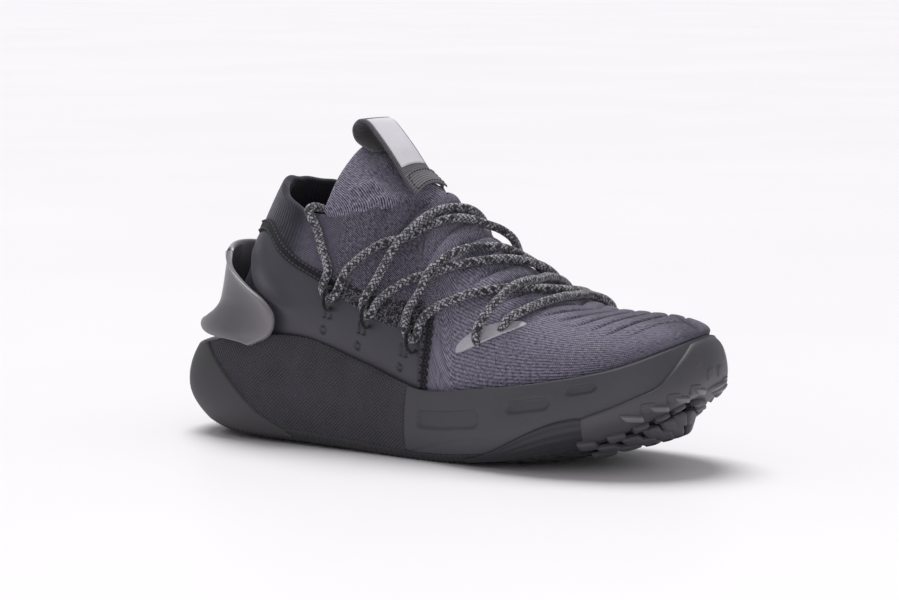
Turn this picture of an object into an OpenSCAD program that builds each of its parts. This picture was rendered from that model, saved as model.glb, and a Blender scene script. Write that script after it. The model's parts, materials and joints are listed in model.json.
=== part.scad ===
// Right-foot knit running shoe, about a men's EU 42.5. Millimetres.
// Toe to +X, instep side to +Y, floor at z = 0, middle of the outer box over the origin.

// which piece to draw

/* [Upper] */
// thickness of the moulded quarter panels
quarter_t = 2.0; // [1.2:0.1:3]
// thickness of the knit vamp and toe
knit_t = 1.8; // [1.2:0.1:2]
// thickness of the rib-knit collar
collar_t = 4.0; // [2.5:0.5:5]
// thickness of the tongue top
tongue_t = 3.0; // [2:0.5:4]
// thickness of the linings
lining_t = 0.8; // [0.6:0.1:1]

/* [Sole] */
// thickness of the tread rubber
rubber_t = 3.0; // [2:0.5:3.5]
// how far the toe lugs stand out
lug_h = 3.0; // [1:0.5:4]
// thickness of the textile wrap on the rear foam
wrap_t = 1.1; // [0.6:0.1:1.2]
// thickness of the sockliner
insole_t = 4.2; // [3:0.2:5]

/* [Lacing and trim] */
// diameter of the round lace
lace_d = 4.4; // [3.5:0.1:5.5]
// width of the pull-tab webbing
tab_w = 24; // [18:1:28]
// thickness of the heel clip
clip_t = 2.4; // [1.8:0.2:3]

/* [Hidden] */
// ground-plan outline of the sole, heel, outer side, toe, inner side
O = [[-1,0],[3,-20],[17,-36],[48,-44],[88,-44],[126,-44],[162,-47],[200,-53],[236,-52],[269,-39],
     [289,-17],[296,8],[289,31],[268,46],[236,51],[200,48],[162,41],[126,36],[88,36],[48,38],[17,32],
     [3,18]];
// line where the upper enters the sole
B = [[24,0,48],[27,-14,48],[38,-27,48.5],[58,-36,53],[90,-38.5,54.5],[126,-38.5,44],[162,-41.5,34.5],
     [200,-47,38.5],[234,-46,44],[263,-34.5,51],[282,-15,60],[290,8,65],[283,26,62],[263,40,54],
     [234,45,46.5],[200,42,41],[162,35,38],[126,31,46],[90,31,55],[58,32,56],[38,25,49],[27,13,48]];
// collar edge, from the inner side of the throat round the heel to the outer side
COLLAR = [[146,6,125.5],[122,23,124],[92,28,119],[76,28,123],[63,22,128],[55,11,131],[53,0,131.5],
          [55,-11,130.5],[63,-22,125],[76,-28,118],[92,-28,114.5],[122,-23,121],[146,6,125.5]];
// crest of the vamp from the throat to the toe
RIDGE = [[146,6,125.5],[190,2,93],[222,3,76.8],[250,5,74.2],[273,7,73.6],[286,8,67]];
// upper edge of the tongue top
TIP = [[92,-28,114.5],[99,-20,137],[101,0,150],[99,20,137],[92,28,119]];
// side bulge of the upper at each station: out low, rise low, out high, drop high
H = [[2,20,19,20],[3,20,10,20],[6,22,4,20],[6,24,3,20],[4,26,3,18],[2,34,4,22],[3,34,20,4],
     [4,30,26,2],[4,22,28,1],[4,13,24,1],[4,7,12,1],[3,4,3,1]];
// lower and upper edge heights of the sole wall
ZB = [11,10,6,3,2,1,0,3,9,17,26,32,27,18,9,3,0,1,2,3,6,9];
ZT = [46,45.5,46.5,53,55,44.5,35,39,44.5,51.5,60,65,62,54.5,47,41.5,38.5,46.5,55.5,55,47,45.5];
// how far the wall pulls in at its lower and upper edge
IB = [14,13,10,6,4,3,4,7,10,14,16,17,16,14,10,7,4,3,4,6,10,13];
IT = [6,6,5,4,3,2.5,2.5,2.5,3,3,4.5,6,4.5,3,3,2.5,2.5,2.5,3,4,5,6];
// height of the underside along its middle, and of the foot bed, every 20 mm of length
KEEL = [6,1,0,0,0,0,0,0,0,0,0,1.5,5,11,19,28];
BED = [28,28,28,27,26,25,23.5,22,20.5,19.5,19,19.5,21,25.5,33,41];
// height of the flex axis, and its slope across the shoe
flex_z = 38;
flex_l = 7.45;
flex_m = 13.85;
fold = 0.62;
// outer box middle, found by measuring the finished assembly
shift = [-149.39, 1.28, 0];
gap = 0.4;

function mod22(u) = u - 22 * floor(u / 22);
function mix(a, b, t) = a + (b - a) * t;
function unit(v) = v / norm(v);
function cr(a, b, c, d, t) =
  0.5 * (2 * b + (c - a) * t + (2 * a - 5 * b + 4 * c - d) * t * t
  + (3 * b - a - 3 * c + d) * t * t * t);
function cyc(P, u) =
  let (n = len(P), i = floor(u), t = u - i)
  cr(P[(i + n - 1) % n], P[i % n], P[(i + 1) % n], P[(i + 2) % n], t);
function opn(P, u) =
  let (n = len(P), i = min(max(floor(u), 0), n - 2), t = u - i,
       a = i > 0 ? P[i - 1] : 2 * P[0] - P[1],
       d = i + 2 < n ? P[i + 2] : 2 * P[n - 1] - P[n - 2])
  cr(a, P[i], P[i + 1], d, t);
function ring(P, u) = cyc(P, mod22(u));
function top_edge(u) =
  let (m = mod22(u))
  m >= 6 && m <= 16 ? opn(RIDGE, (m <= 11 ? m : 22 - m) - 6)
  : opn(COLLAR, m > 16 ? m - 16 : m + 6);
function outn(u) =
  let (t = ring(O, u + 0.05) - ring(O, u - 0.05), d = unit(t)) [d[1], -d[0], 0];
function bulge(u) = let (m = mod22(u)) opn(H, m <= 11 ? m : 22 - m);
function bez(u, v) =
  let (b = ring(B, u), t = top_edge(u), n = outn(u), h = bulge(u),
       c = b + n * h[0] + [0, 0, h[1]], d = t + n * h[2] - [0, 0, h[3]], w = 1 - v)
  w * w * w * b + 3 * w * w * v * c + 3 * w * v * v * d + v * v * v * t;
function bez_n(u, v) =
  let (m = mod22(u))
  v > 0.995 && m > 6.2 && m < 15.8
  ? let (a = top_edge(u - 0.05), b = top_edge(u + 0.05), d = (m < 11 ? 1 : -1) * (b - a))
    unit([-d[2], 0, d[0]])
  : let (x = bez(u + 0.04, v) - bez(u - 0.04, v), y = bez(u, v + 0.01) - bez(u, v - 0.01))
    unit(cross(x, y));
// point of the upper: v from 0 at the sole to 1 at the crest or collar, o outward
function up(u, v, o) = bez(u, v) + bez_n(u, v) * o;
function tab(P, x) = opn(P, x / 20);
// wall of the sole: w from 0 at the tread to 1 at the upper edge, o outward
function wall(u, w, o) =
  let (p = ring(O, u), n = outn(u), zb = max(0, ring(ZB, u)), zt = ring(ZT, u),
       i = ring(IB, u) * pow(max(0, 1 - 2 * w), 2.2) + ring(IT, u) * pow(max(0, 2 * w - 1), 2))
  [p[0] + n[0] * (o - i), p[1] + n[1] * (o - i), zb + (zt - zb) * w];
// point of the underside between the wall foot at station u and the keel
function under(u, c, r, dz) =
  let (p = wall(u, 0, 0), z = max(0, tab(KEEL, c[0])))
  [mix(p[0], c[0], r), mix(p[1], c[1], r), z + (p[2] - z) * pow(max(0, 1 - 2 * r), 1.6) + dz];

// closed skin between an outer and an inner sheet of points; rows below slit leave column col open
module skin(A, C, slit = 0, col = -1) {
  nu = len(A) - 1;
  nv = len(A[0]) - 1;
  n = (nu + 1) * (nv + 1);
  function id(k, i, j) = k * n + i * (nv + 1) + j;
  function on(i, j) = i >= 0 && j >= 0 && i < nu && j < nv && !(j == col && i < slit);
  polyhedron(concat([for (r = A) each r], [for (r = C) each r]), [
    for (i = [0:nu - 1], j = [0:nv - 1]) if (on(i, j)) each [
      [id(0, i, j), id(0, i, j + 1), id(0, i + 1, j + 1)],
      [id(0, i, j), id(0, i + 1, j + 1), id(0, i + 1, j)],
      [id(1, i, j), id(1, i + 1, j + 1), id(1, i, j + 1)],
      [id(1, i, j), id(1, i + 1, j), id(1, i + 1, j + 1)],
      if (!on(i, j - 1)) each [[id(0, i, j), id(0, i + 1, j), id(1, i + 1, j)],
                               [id(0, i, j), id(1, i + 1, j), id(1, i, j)]],
      if (!on(i, j + 1)) each [[id(0, i, j + 1), id(1, i + 1, j + 1), id(0, i + 1, j + 1)],
                               [id(0, i, j + 1), id(1, i, j + 1), id(1, i + 1, j + 1)]],
      if (!on(i - 1, j)) each [[id(0, i, j), id(1, i, j + 1), id(0, i, j + 1)],
                               [id(0, i, j), id(1, i, j), id(1, i, j + 1)]],
      if (!on(i + 1, j)) each [[id(0, i + 1, j), id(0, i + 1, j + 1), id(1, i + 1, j + 1)],
                               [id(0, i + 1, j), id(1, i + 1, j + 1), id(1, i + 1, j)]]
    ]
  ], convexity = 8);
}

// stations from a to b, stopping at every multiple of s between
function steps(a, b, s) =
  concat([a], [for (k = [floor(a / s) + 1:ceil(b / s) - 1]) if (k * s - a > 0.05 && b - k * s > 0.05) k * s], [b]);

// patch of the upper between two edge lines v0(u) and v1(u), from offset oa in to ob
module patch(us, f0, f1, nv, oa, ob) {
  skin([for (u = us) [for (j = [0:nv]) up(u, mix(f0(u), f1(u), j / nv), oa)]],
       [for (u = us) [for (j = [0:nv]) up(u, mix(f0(u), f1(u), j / nv), ob)]]);
}
// the same with a skirt that runs straight down inside the rim to the foot bed
function skirt(u, o, z) = let (b = ring(B, u), n = outn(u)) [b[0] + n[0] * o, b[1] + n[1] * o, z];
function deep(u, o, dz) = let (b = ring(B, u)) skirt(u, o, tab(BED, b[0]) + dz);
module deep_patch(us, f1, nv, oa, ob) {
  skin([for (u = us) concat([deep(u, oa, 0.4)], [for (j = [0:nv]) up(u, f1(u) * j / nv, oa)])],
       [for (u = us) concat([deep(u, ob, 0.4)], [for (j = [0:nv]) up(u, f1(u) * j / nv, ob)])]);
}
// arch over the crest: outer-side stations l0 to l1, inner-side m0 to m1, each a pair [low, high]
module arch(l0, l1, m0, m1, ns, nv, oa, ob, vl, low, e0 = 1, e1 = 1) {
  function at(s, j, o) =
    j <= nv
    ? let (v = mix(vl(mix(l0[0], l1[0], s)), 1, j / nv)) up(mix(mix(l0[0], l0[1], pow(v, e0)), mix(l1[0], l1[1], pow(v, e1)), s), v, o)
    : let (v = mix(vl(mix(m0[0], m1[0], s)), 1, (2 * nv - j) / nv))
      up(mix(mix(m0[0], m0[1], pow(v, e0)), mix(m1[0], m1[1], pow(v, e1)), s), v, o);
  function row(s, o) = [for (j = [0:2 * nv]) at(s, j, o)];
  function full(s, o) = low
    ? concat([deep(mix(l0[0], l1[0], s), o, 0.4)], row(s, o), [deep(mix(m0[0], m1[0], s), o, 0.4)])
    : row(s, o);
  skin([for (i = [0:ns]) full(i / ns, oa)], [for (i = [0:ns]) full(i / ns, ob)]);
}

// edge line between the quarter panels and the knit above them
QE = [0.62,0.66,0.72,0.64,0.48,0.28,0.26,0.26];
q_edge = function (u) let (m = mod22(u)) opn(QE, m <= 11 ? m : 22 - m);
zero = function (u) 0;
one = function (u) 1;
quarter_end = 6.0;

// ---- sole ----

function keel_at(l, m) =
  let (a = wall(l, 0, 0), b = wall(m, 0, 0)) [(a[0] + b[0]) / 2, (a[1] + b[1]) / 2];
LV = [1, 0.8, 0.6, 0.45, 0.3, 0.2, 0.12];
// outer line of a foam section, inner side to outer side
function foam_out(l, m, o) =
  let (c = keel_at(l, m), h = rubber_t + 4.2)
  concat([for (w = LV) wall(m, w, o)],
         [under(m, c, 0.15, h), under(m, c, 0.5, h), under(m, c, 1, h), under(l, c, 0.5, h), under(l, c, 0.15, h)],
         [for (k = [6:-1:0]) wall(l, LV[k], o)]);
// inner line: rim, straight wall, foot bed
function rim(u) = let (b = ring(B, u), n = outn(u)) [b[0] + n[0] * 0.35, b[1] + n[1] * 0.35, ring(ZT, u)];
function rim_line(u) =
  let (r = rim(u), z = deep(u, 0.35, 0), a = [for (k = [0.25, 0.5, 0.75, 1]) mix(r, z, k)])
  concat([mix(wall(u, 1, 0), r, 0.5) + [0, 0, 0.4], r], a, [deep(u, -6, 0)]);
function foam_in(l, m) =
  let (a = rim_line(m), b = rim_line(l), p = a[6], q = b[6], c = (p + q) / 2)
  concat(a, [mix(p, c, 0.3), mix(p, c, 0.65), c, mix(q, c, 0.65), mix(q, c, 0.3)], [for (k = [6:-1:0]) b[k]]);
function wedge(p) = [p[0] + 0.4 + max(0, p[2] - flex_z + 1) * fold, p[1], p[2]];
module foam(l0, l1, m0, m1, n, o, notch) {
  function cut(i, s) = i == 0 && notch ? [for (p = s) wedge(p)] : s;
  function lt(i) = mix(l0, l1, i / n);
  function mt(i) = mix(m0, m1, i / n);
  skin([for (i = [0:n]) cut(i, foam_out(lt(i), mt(i), o))], [for (i = [0:n]) cut(i, foam_in(lt(i), mt(i)))]);
}
module tread(l0, l1, m0, m1, n, t, notch) {
  function lt(i) = mix(l0, l1, i / n);
  function mt(i) = mix(m0, m1, i / n);
  function lo(l, m) = let (c = keel_at(l, m))
    concat([wall(m, 0.1, 0)], [for (r = [0, 0.15, 0.5, 1]) under(m, c, r, 0)],
           [for (r = [0.5, 0.15, 0]) under(l, c, r, 0)], [wall(l, 0.1, 0)]);
  function hi(l, m) = let (c = keel_at(l, m))
    concat([wall(m, 0.1, -2.2)], [for (r = [0.05, 0.15, 0.5, 1]) under(m, c, r, t)],
           [for (r = [0.5, 0.15, 0.05]) under(l, c, r, t)], [wall(l, 0.1, -2.2)]);
  function cut(i, s) = i == 0 && notch ? [for (p = s) wedge(p)] : s;
  skin([for (i = [0:n]) cut(i, lo(lt(i), mt(i)))], [for (i = [0:n]) cut(i, hi(lt(i), mt(i)))]);
}

module outsole_heel() color("#1c1d20") tread(0.05, 4.4, 21.95, 17.6, 14, rubber_t, false);
module outsole_midfoot() color("#1c1d20") {
  tread(5.8, flex_l, 16.2, flex_m, 5, rubber_t, false);
}
module outsole_forefoot() color("#1c1d20") tread(flex_l, 10.3, flex_m, 11.7, 10, rubber_t, true);

// rubber that wraps up the toe, with its lugs
BT = [0.24,0.28,0.36,0.44,0.5,0.58,0.82,0.98,0.98,0.98,0.98,0.98,0.98,0.98,0.82,0.58,0.5,0.44,0.38,0.3,0.24];
bump_us = [7.7,7.9,8.2,8.6,9,9.4,9.8,10.1,10.4,10.7,11,11.3,11.6,11.9,12.2,12.6,13,13.2,13.35,13.5,13.65];
module toe_bumper() color("#26272b") {
  nv = 6;
  union() {
    skin([for (i = [0:20]) [for (j = [0:nv]) wall(bump_us[i], mix(0.14, BT[i], j / nv), 2.1)]],
         [for (i = [0:20]) [for (j = [0:nv]) wall(bump_us[i], mix(0.14, BT[i], j / nv), 0.7)]]);
    for (k = [0:6]) lug(8.5 + k * 0.36, 0.22, 0.13, 0.11);
    for (k = [0:5]) lug(9.3 + k * 0.34, 0.42, 0.11, 0.09);
    for (k = [0:6]) lug(13.2 - k * 0.34, 0.22, 0.13, 0.11);
    for (k = [0:2]) lug(12.7 - k * 0.34, 0.42, 0.11, 0.09);
  }
}
module lug(u, w, a, b) {
  skin([for (i = [-1, 1]) [for (j = [-1, 1]) wall(u + i * a * 0.7 - j * 0.05, w + j * b * 0.7, 1.9 + lug_h)]],
       [for (i = [-1, 1]) [for (j = [-1, 1]) wall(u + i * a - j * 0.05, w + j * b, 1.5)]]);
}

module foam_core() color("#34353b") foam(0.04, 5.75, 21.96, 16.25, 17, -2, false);
module midsole_carrier() color("#2f3036") foam(5.78, flex_l, 16.22, flex_m, 5, 0, false);
module midsole_forefoot() color("#2f3036") foam(flex_l, 10.97, flex_m, 11.03, 13, 0, true);

function cap_edge(w) = 3.75 - 1.5 * w;
CW = [0.12,0.2,0.3,0.45,0.6,0.8,0.97];
module heel_cap() color("#303137") {
  skin([for (i = [-11:11]) [for (w = CW) wall(cap_edge(w) * i / 11, w, 1.2)]],
       [for (i = [-11:11]) [for (w = CW) wall(cap_edge(w) * i / 11, w, 0.5)]]);
}
module mesh_wrap() color("#3a3b41") {
  us = steps(-5.7, 5.7, 0.5);
  skin([for (u = us) [for (w = LV_UP) wall(u, w, -0.05)]], [for (u = us) [for (w = LV_UP) wall(u, w, -wrap_t)]]);
}
LV_UP = [0.13,0.2,0.3,0.45,0.6,0.8,0.98];

// board and sockliner: flat strips across, heel to toe
function inset(u) = let (m = mod22(u), w = m <= 11 ? m : 22 - m) -mix(6.8, 4.1, min(1, max(0, 2 * (w - 7.5))));
module bed_sheet(z0, z1, e) {
  function lt(i) = mix(0.25, 10.75, i / 20);
  function row(l, z) =
    let (m = 22 - l, a = deep(m, inset(m) - e, z), b = deep(l, inset(l) - e, z))
    [for (k = [0:4]) mix(b, a, k / 4)];
  skin([for (i = [0:20]) row(lt(i), z1)], [for (i = [0:20]) row(lt(i), z0)]);
}
module strobel_board() color("#cfcabd") bed_sheet(1.1, 2.5, 0);
module insole() color("#4a4c54") bed_sheet(2.8, 2.8 + insole_t, 0.8);

// ---- upper ----

module rear_lining() color("#303238") {
  us = steps(-8.1, 7.4, 0.5);
  deep_patch(us, q_edge, 5, -quarter_t - 2.8, -quarter_t - 2.8 - lining_t);
}
module ankle_padding() color("#6a6c74") {
  us = steps(-4, 4, 0.5);
  patch(us, function (u) 0.34, function (u) q_edge(u) - 0.01, 3, -quarter_t - gap, -quarter_t - 2.4);
}
module heel_counter() color("#c9c4b8") {
  us = steps(-3.5, 3.5, 0.5);
  patch(us, function (u) 0.02, function (u) 0.32, 3, -quarter_t - gap, -quarter_t - 2.2);
}
module quarter_lateral() color("#3c3e45") {
  us = steps(0.03, quarter_end, 0.5);
  patch(us, function (u) 0.005, q_edge, 6, 0, -quarter_t);
}
module quarter_medial() color("#3c3e45") {
  us = steps(22 - quarter_end, 21.97, 0.5);
  patch(us, function (u) 0.005, q_edge, 6, 0, -quarter_t);
}
module vamp_knit() color("#3a3b42") {
  // side walls behind the flex line below the quarter edge
  // throat: two sides that join over the crest in front of the tongue
  us = [4.35, 4.7, 5, 5.35, 5.7, 6, 6.1];
  function_top = function (u) u < 5.99 ? 1 : 0.985;
  skin([for (u = us) throat_row(u, function_top(u), 0)], [for (u = us) throat_row(u, function_top(u), -knit_t)], 5, 6);
  // instep, reaching down inside the sole rim
  arch([6.14, 6.14], [flex_l - 0.02, 8.25], [15.86, 15.86], [flex_m + 0.02, 13.75], 5, 6, 0, -knit_t, zero, true,
       1, 1.8);
}
function throat_row(u, vt, o) =
  let (a = q_edge(u) + 0.02)
  concat([for (j = [0:6]) up(u, mix(a, vt, j / 6), o)], [for (j = [6:-1:0]) up(22 - u, mix(a, vt, j / 6), o)]);
module vamp_flex_panel() color("#3a3b42") {
  arch([flex_l + 0.01, 8.28], [flex_l + 0.09, 9.09], [flex_m - 0.01, 13.72], [flex_m - 0.2, 12.91], 3, 7,
       0, -knit_t - 0.4, zero, true, 1.8, 1.1);
}
module toe_box_knit() color("#3a3b42") {
  arch([flex_l + 0.12, 9.14], [10.96, 10.96], [flex_m - 0.24, 12.86], [11.04, 11.04], 11, 7, 0, -knit_t, zero, true,
       1.1, 1);
}
module toe_lining() color("#2d2f35") {
  arch([flex_l + 0.12, 9.14], [10.85, 10.85], [flex_m - 0.24, 12.86], [11.15, 11.15], 8, 7, -knit_t - gap,
       -knit_t - gap - lining_t, zero, true, 1.1, 1);
}
module rib_knit_collar() color("#36373e") {
  us = steps(-4.3, 4.3, 0.5);
  patch(us, function (u) q_edge(u) + 0.075, one, 4, 0, -collar_t);
}
module collar_seam_tape() color("#232429") {
  us = steps(-4.3, 4.3, 0.5);
  patch(us, function (u) q_edge(u) + 0.01, function (u) q_edge(u) + 0.065, 1, 0.3, -2.4);
}
function flap(w, t, o) =
  let (a = w <= 2 ? opn(COLLAR, 10 + w) : opn(COLLAR, w - 2), b = opn(TIP, w),
       p = mix(a, b, t), n = unit([w < 2 ? 0.5 : 0.5, (w - 2) * 0.55, 0.9]))
  p + n * (o + 1.5 * sin(180 * t) * sin(45 * w));
module tongue_top() color("#3b3c43") {
  ws = [for (k = [0:14]) mix(0.35, 3.65, k / 14)];
  skin([for (w = ws) [for (j = [0:4]) flap(w, mix(0.12, 1, j / 4), 1.2)]],
       [for (w = ws) [for (j = [0:4]) flap(w, mix(0.12, 1, j / 4), 1.2 - tongue_t)]]);
}
module seam_run(a, b) {
  vs = [for (k = [0:8]) mix(0.03, 0.25, k / 8)];
  skin([for (k = [0:8]) [up(a, vs[k], 0.7), up(b, vs[k], 0.7)]],
       [for (k = [0:8]) [up(a, vs[k], 0.15), up(b, vs[k], 0.15)]]);
}
module seam_stitch_lateral() color("#6d6f77") seam_run(6.13, 5.99);
module seam_stitch_medial() color("#6d6f77") seam_run(16.01, 15.87);
module edge_strip(us) {
  patch(us, function (u) q_edge(u) + 0.03, function (u) q_edge(u) + 0.1, 1, 1.0, 0.2);
}
module edge_strip_lateral() color("#5b5d66") edge_strip(steps(4.45, 6.0, 0.5));
module edge_strip_medial() color("#5b5d66") edge_strip(steps(15.0, 17.55, 0.5));
// leaf-shaped reinforcement round two lace holes
module film(u0, u1, v0, v1) {
  us = [for (k = [0:8]) mix(u0, u1, k / 8)];
  function half(t) = 0.075 * pow(max(0.04, sin(180 * t)), 0.7);
  function pt(k, j, o) = up(us[k], mix(v0, v1, k / 8) + half(k / 8) * j, o);
  skin([for (k = [0:8]) [for (j = [-1:1]) pt(k, j, 0.9)]], [for (k = [0:8]) [for (j = [-1:1]) pt(k, j, 0.25)]]);
}
module eyelet_film_lateral() color("#8f9097") film(6.5, 7.5, 0.2, 0.5);
module eyelet_film_medial() color("#8f9097") film(13.98, 14.9, 0.56, 0.3);

// ---- lacing ----

module tube(P, r, n) {
  m = len(P);
  function dir(i) = unit(P[min(i + 1, m - 1)] - P[max(i - 1, 0)]);
  // frames carried along the route without twist
  F = [for (i = 0, a = unit(cross(dir(0), [0.3, 0.2, 1])); i < m;
        i = i + 1, a = i < m ? unit(a - (a * dir(i)) * dir(i)) : a) a];
  rings = [for (i = [0:m - 1]) let (b = cross(dir(i), F[i]))
           [for (k = [0:n - 1]) P[i] + r * (cos(360 * k / n) * F[i] + sin(360 * k / n) * b)]];
  polyhedron([for (q = rings) each q], concat(
    [for (i = [0:m - 2], k = [0:n - 1]) [i * n + k, (i + 1) * n + k, (i + 1) * n + (k + 1) % n]],
    [for (i = [0:m - 2], k = [0:n - 1]) [i * n + k, (i + 1) * n + (k + 1) % n, i * n + (k + 1) % n]],
    [[for (k = [0:n - 1]) k]], [[for (k = [n - 1:-1:0]) (m - 1) * n + k]]), convexity = 10);
}
// lace turning points held by the loops: station, height along the side
LOOPS = [[4.43,0.315],[5.085,0.265],[5.915,0.21],[16.08,0.375],[15.4,0.355],[15,0.365]];
module loop(u, v) {
  len_v = norm(bez(u, v + 0.05) - bez(u, v - 0.05)) / 0.1;
  tube([for (a = [205:-25:-25]) up(u, v + 5.4 * cos(a) / len_v, 3.6 + 5.4 * sin(a))], 0.9, 8);
}
module lace_loops() color("#26272b") for (q = LOOPS) loop(q[0], q[1]);
r_l = lace_d / 2;
// route of the lace: station, height along the side, lift of its centre line
ROUTE = [
  // near end, out over the collar edge and down to the first loop
  [3.95,0.9,3.4],[4.15,0.72,3.4],[4.36,0.52,3.4],[4.3,0.4,3.4],[4.38,0.32,3.4],[4.48,0.32,3.4],[4.57,0.4,3.4],
  // first crossing, outer side to crest to inner side
  [4.65,0.52,3.4],[4.9,0.64,3.4],[5.22,0.7,3.3],[5.62,0.68,3],[6.02,0.72,3.3],[6.24,0.86,3.5],[6.36,0.96,3.6],
  [15.56,0.97,3.8],[15.48,0.9,6],[15.4,0.8,6.5],[15.47,0.62,4.5],[15.53,0.46,3.6],[15.45,0.36,3.4],[15.35,0.36,3.4],[15.26,0.46,3.4],
  // back over the crest to the third loop
  [15.15,0.58,3.6],[15.08,0.76,3.8],[15.13,0.9,3.8],[6.76,0.98,3.8],[6.66,0.86,4],[6.52,0.74,4.4],[6.38,0.62,6.4],
  [6.22,0.5,8],[6.06,0.4,5.6],[5.83,0.33,3.8],[5.77,0.26,3.4],[5.86,0.21,3.4],[5.97,0.22,3.4],[6.08,0.3,3.4],
  // to the inner eyelets
  [6.3,0.37,3.4],[6.56,0.44,3.4],[6.8,0.53,3.2],[7.05,0.64,3],[7.28,0.76,3],[7.5,0.88,3.2],[7.62,0.97,3.4],
  [14.3,0.95,3.6],[14.3,0.82,3.6],[14.42,0.62,3.4],[14.55,0.44,3.9],[14.42,0.36,3.9],[14.28,0.42,3.9],
  // lowest bar, inner to outer eyelets
  [14.14,0.58,3.4],[14.02,0.8,3.6],[13.94,0.95,3.6],[8.0,0.94,3.5],[7.9,0.83,3.4],[7.74,0.7,3.4],[7.55,0.55,3.4],
  [7.4,0.42,3.4],[7.26,0.33,3.4],[7.04,0.26,3.4],[6.96,0.31,3.6],
  // up again, over the previous run, to the inner third loop
  [7.08,0.42,5],[7.22,0.54,7.4],[7.3,0.68,8.2],[7.36,0.82,6.6],[7.38,0.95,4.4],[14.66,0.96,4],[14.68,0.82,3.8],
  [14.8,0.62,3.6],[14.86,0.46,3.4],[14.95,0.37,3.4],[15.05,0.37,3.4],[15.1,0.46,3.6],
  // over the crest to the second loop
  [14.94,0.62,4],[14.92,0.8,5],[15,0.93,4],[6.9,0.93,3.6],[6.8,0.82,3.5],[6.64,0.7,3.4],[6.42,0.59,3.2],
  [6.16,0.5,3],[5.84,0.46,3.3],[5.48,0.41,3.4],[5.24,0.34,3.4],[5.14,0.27,3.4],[5.03,0.27,3.4],[5,0.35,3.4],
  // up over the first run and across to the inner first loop
  [5.16,0.44,3.8],[5.34,0.54,5.6],[5.52,0.62,8],[5.74,0.69,8],[5.96,0.76,5.6],[6.1,0.86,3.8],[6.2,0.97,3.4],
  [15.76,0.92,3.4],[15.78,0.78,3.4],[15.88,0.62,3.4],[15.96,0.48,3.4],[16.03,0.38,3.4],[16.13,0.38,3.4],[16.22,0.46,3.4],
  // inner end, up to the collar and in
  [16.6,0.62,3.4],[17.2,0.8,3.4],[17.9,0.92,3.6]];
LACE = concat([[95,-18,99],[94,-19,108],[91,-21,116],[88,-26,119.5],[86,-32,118.5]],
              [for (q = ROUTE) up(q[0], q[1], q[2] - 0.2)],
              [[88,32.5,122.5],[86,26,124],[88,19,116],[90,17,106]]);
module lace() color("#7d7e85") tube(LACE, r_l, 8);
module lace_aglets() color("#1d1e21") {
  tube([[95,-17.9,98.2],[96,-17,89],[97,-16,80]], r_l, 8);
  tube([[90.2,16.8,105.4],[92,15,96],[93,14,87]], r_l, 8);
}

// ---- heel clip and pull tab ----

// rows of the clip from its lower to its upper edge: height at the middle and at the ends, half
// length in stations, distance from the upper at the middle and at the ends
CM = [0.13,0.155,0.19,0.25,0.33,0.43,0.54];
CV = [-0.02,0.015,0.09,0.19,0.31,0.43,0.5];
CH = [3.1,3.42,3.52,3.45,3.08,2.2,0.8];
CO = [16.5,14,10.5,7.5,7.5,9,11];
CE = [8.5,6,4.5,4.5,5.5,8,10.5];
function clip_v(j, s) = mix(CV[j], CM[j], pow(max(0, 1 - s * s), 0.7));
function clip_pt(j, s, o) = up(CH[j] * s, clip_v(j, s), o + mix(CE[j], CO[j], pow(max(0, 1 - s * s), 0.8)));
module heel_clip() color("#5a5b60") {
  union() {
    skin([for (i = [-8:8]) [for (j = [0:6]) clip_pt(j, i / 8, clip_t)]],
         [for (i = [-8:8]) [for (j = [0:6]) clip_pt(j, i / 8, 0)]]);
    // pad that is glued to the heel
    skin([for (i = [-3:3]) [for (j = [2:4]) clip_pt(j, i / 8, 0.6)]],
         [for (i = [-3:3]) [for (j = [2:4]) up(CH[j] * i / 8, clip_v(j, i / 8), 0.15)]]);
  }
}
module clip_badge() color("#17181a") {
  // plain plate, no mark
  skin([for (i = [-2:2]) [for (j = [2:5]) clip_pt(j, i / 11, clip_t + 1.1)]],
       [for (i = [-2:2]) [for (j = [2:5]) clip_pt(j, i / 11, clip_t + 0.15)]]);
}
// side view of the pull tab: up the tongue front, round, and back under itself; and its edge droop
TABP = [[137,131.4],[132,135],[127,139.8],[119.5,148.5],[111.5,157],[107,161],[103.3,161.6],[100.8,158.6],
        [102,154.4],[106.5,151.4],[112.5,148.9]];
DROOP = [3.6,2.8,1.6,0.7,0.3,0.2,0.2,0.2,0.2,0.2,0.2];
function lean(x) = 0.07 * max(0, 1 - x / 5);
function tab_n(x) = let (d = opn(TABP, x + 0.1) - opn(TABP, x - 0.1), e = unit(d)) [e[1], 0, -e[0]];
function strip_pt(x, s, w, o) =
  let (p = opn(TABP, x), n = tab_n(x)) [p[0] + n[0] * o, s * w / 2, p[1] + n[2] * o - opn(DROOP, x) * s * s + s * w * lean(x)];
module strip(x0, x1, n, w, o, t) {
  X = [for (i = [0:n]) mix(x0, x1, i / n)];
  S = [for (k = [2:-1:-2]) k / 2];
  skin([for (x = X) [for (s = S) strip_pt(x, s, w, o + t)]], [for (x = X) [for (s = S) strip_pt(x, s, w, o)]]);
}
module pull_tab_webbing() color("#3e4046") strip(0.2, 10, 26, tab_w, 0.7, 1.2);
module pull_tab_label() color("#b9bac0") strip(2.1, 5.1, 8, 20, 2.4, 0.5);
module pull_tab_base() color("#33353b") strip(0.1, 1.6, 4, tab_w + 1, 2.15, 0.8);

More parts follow.
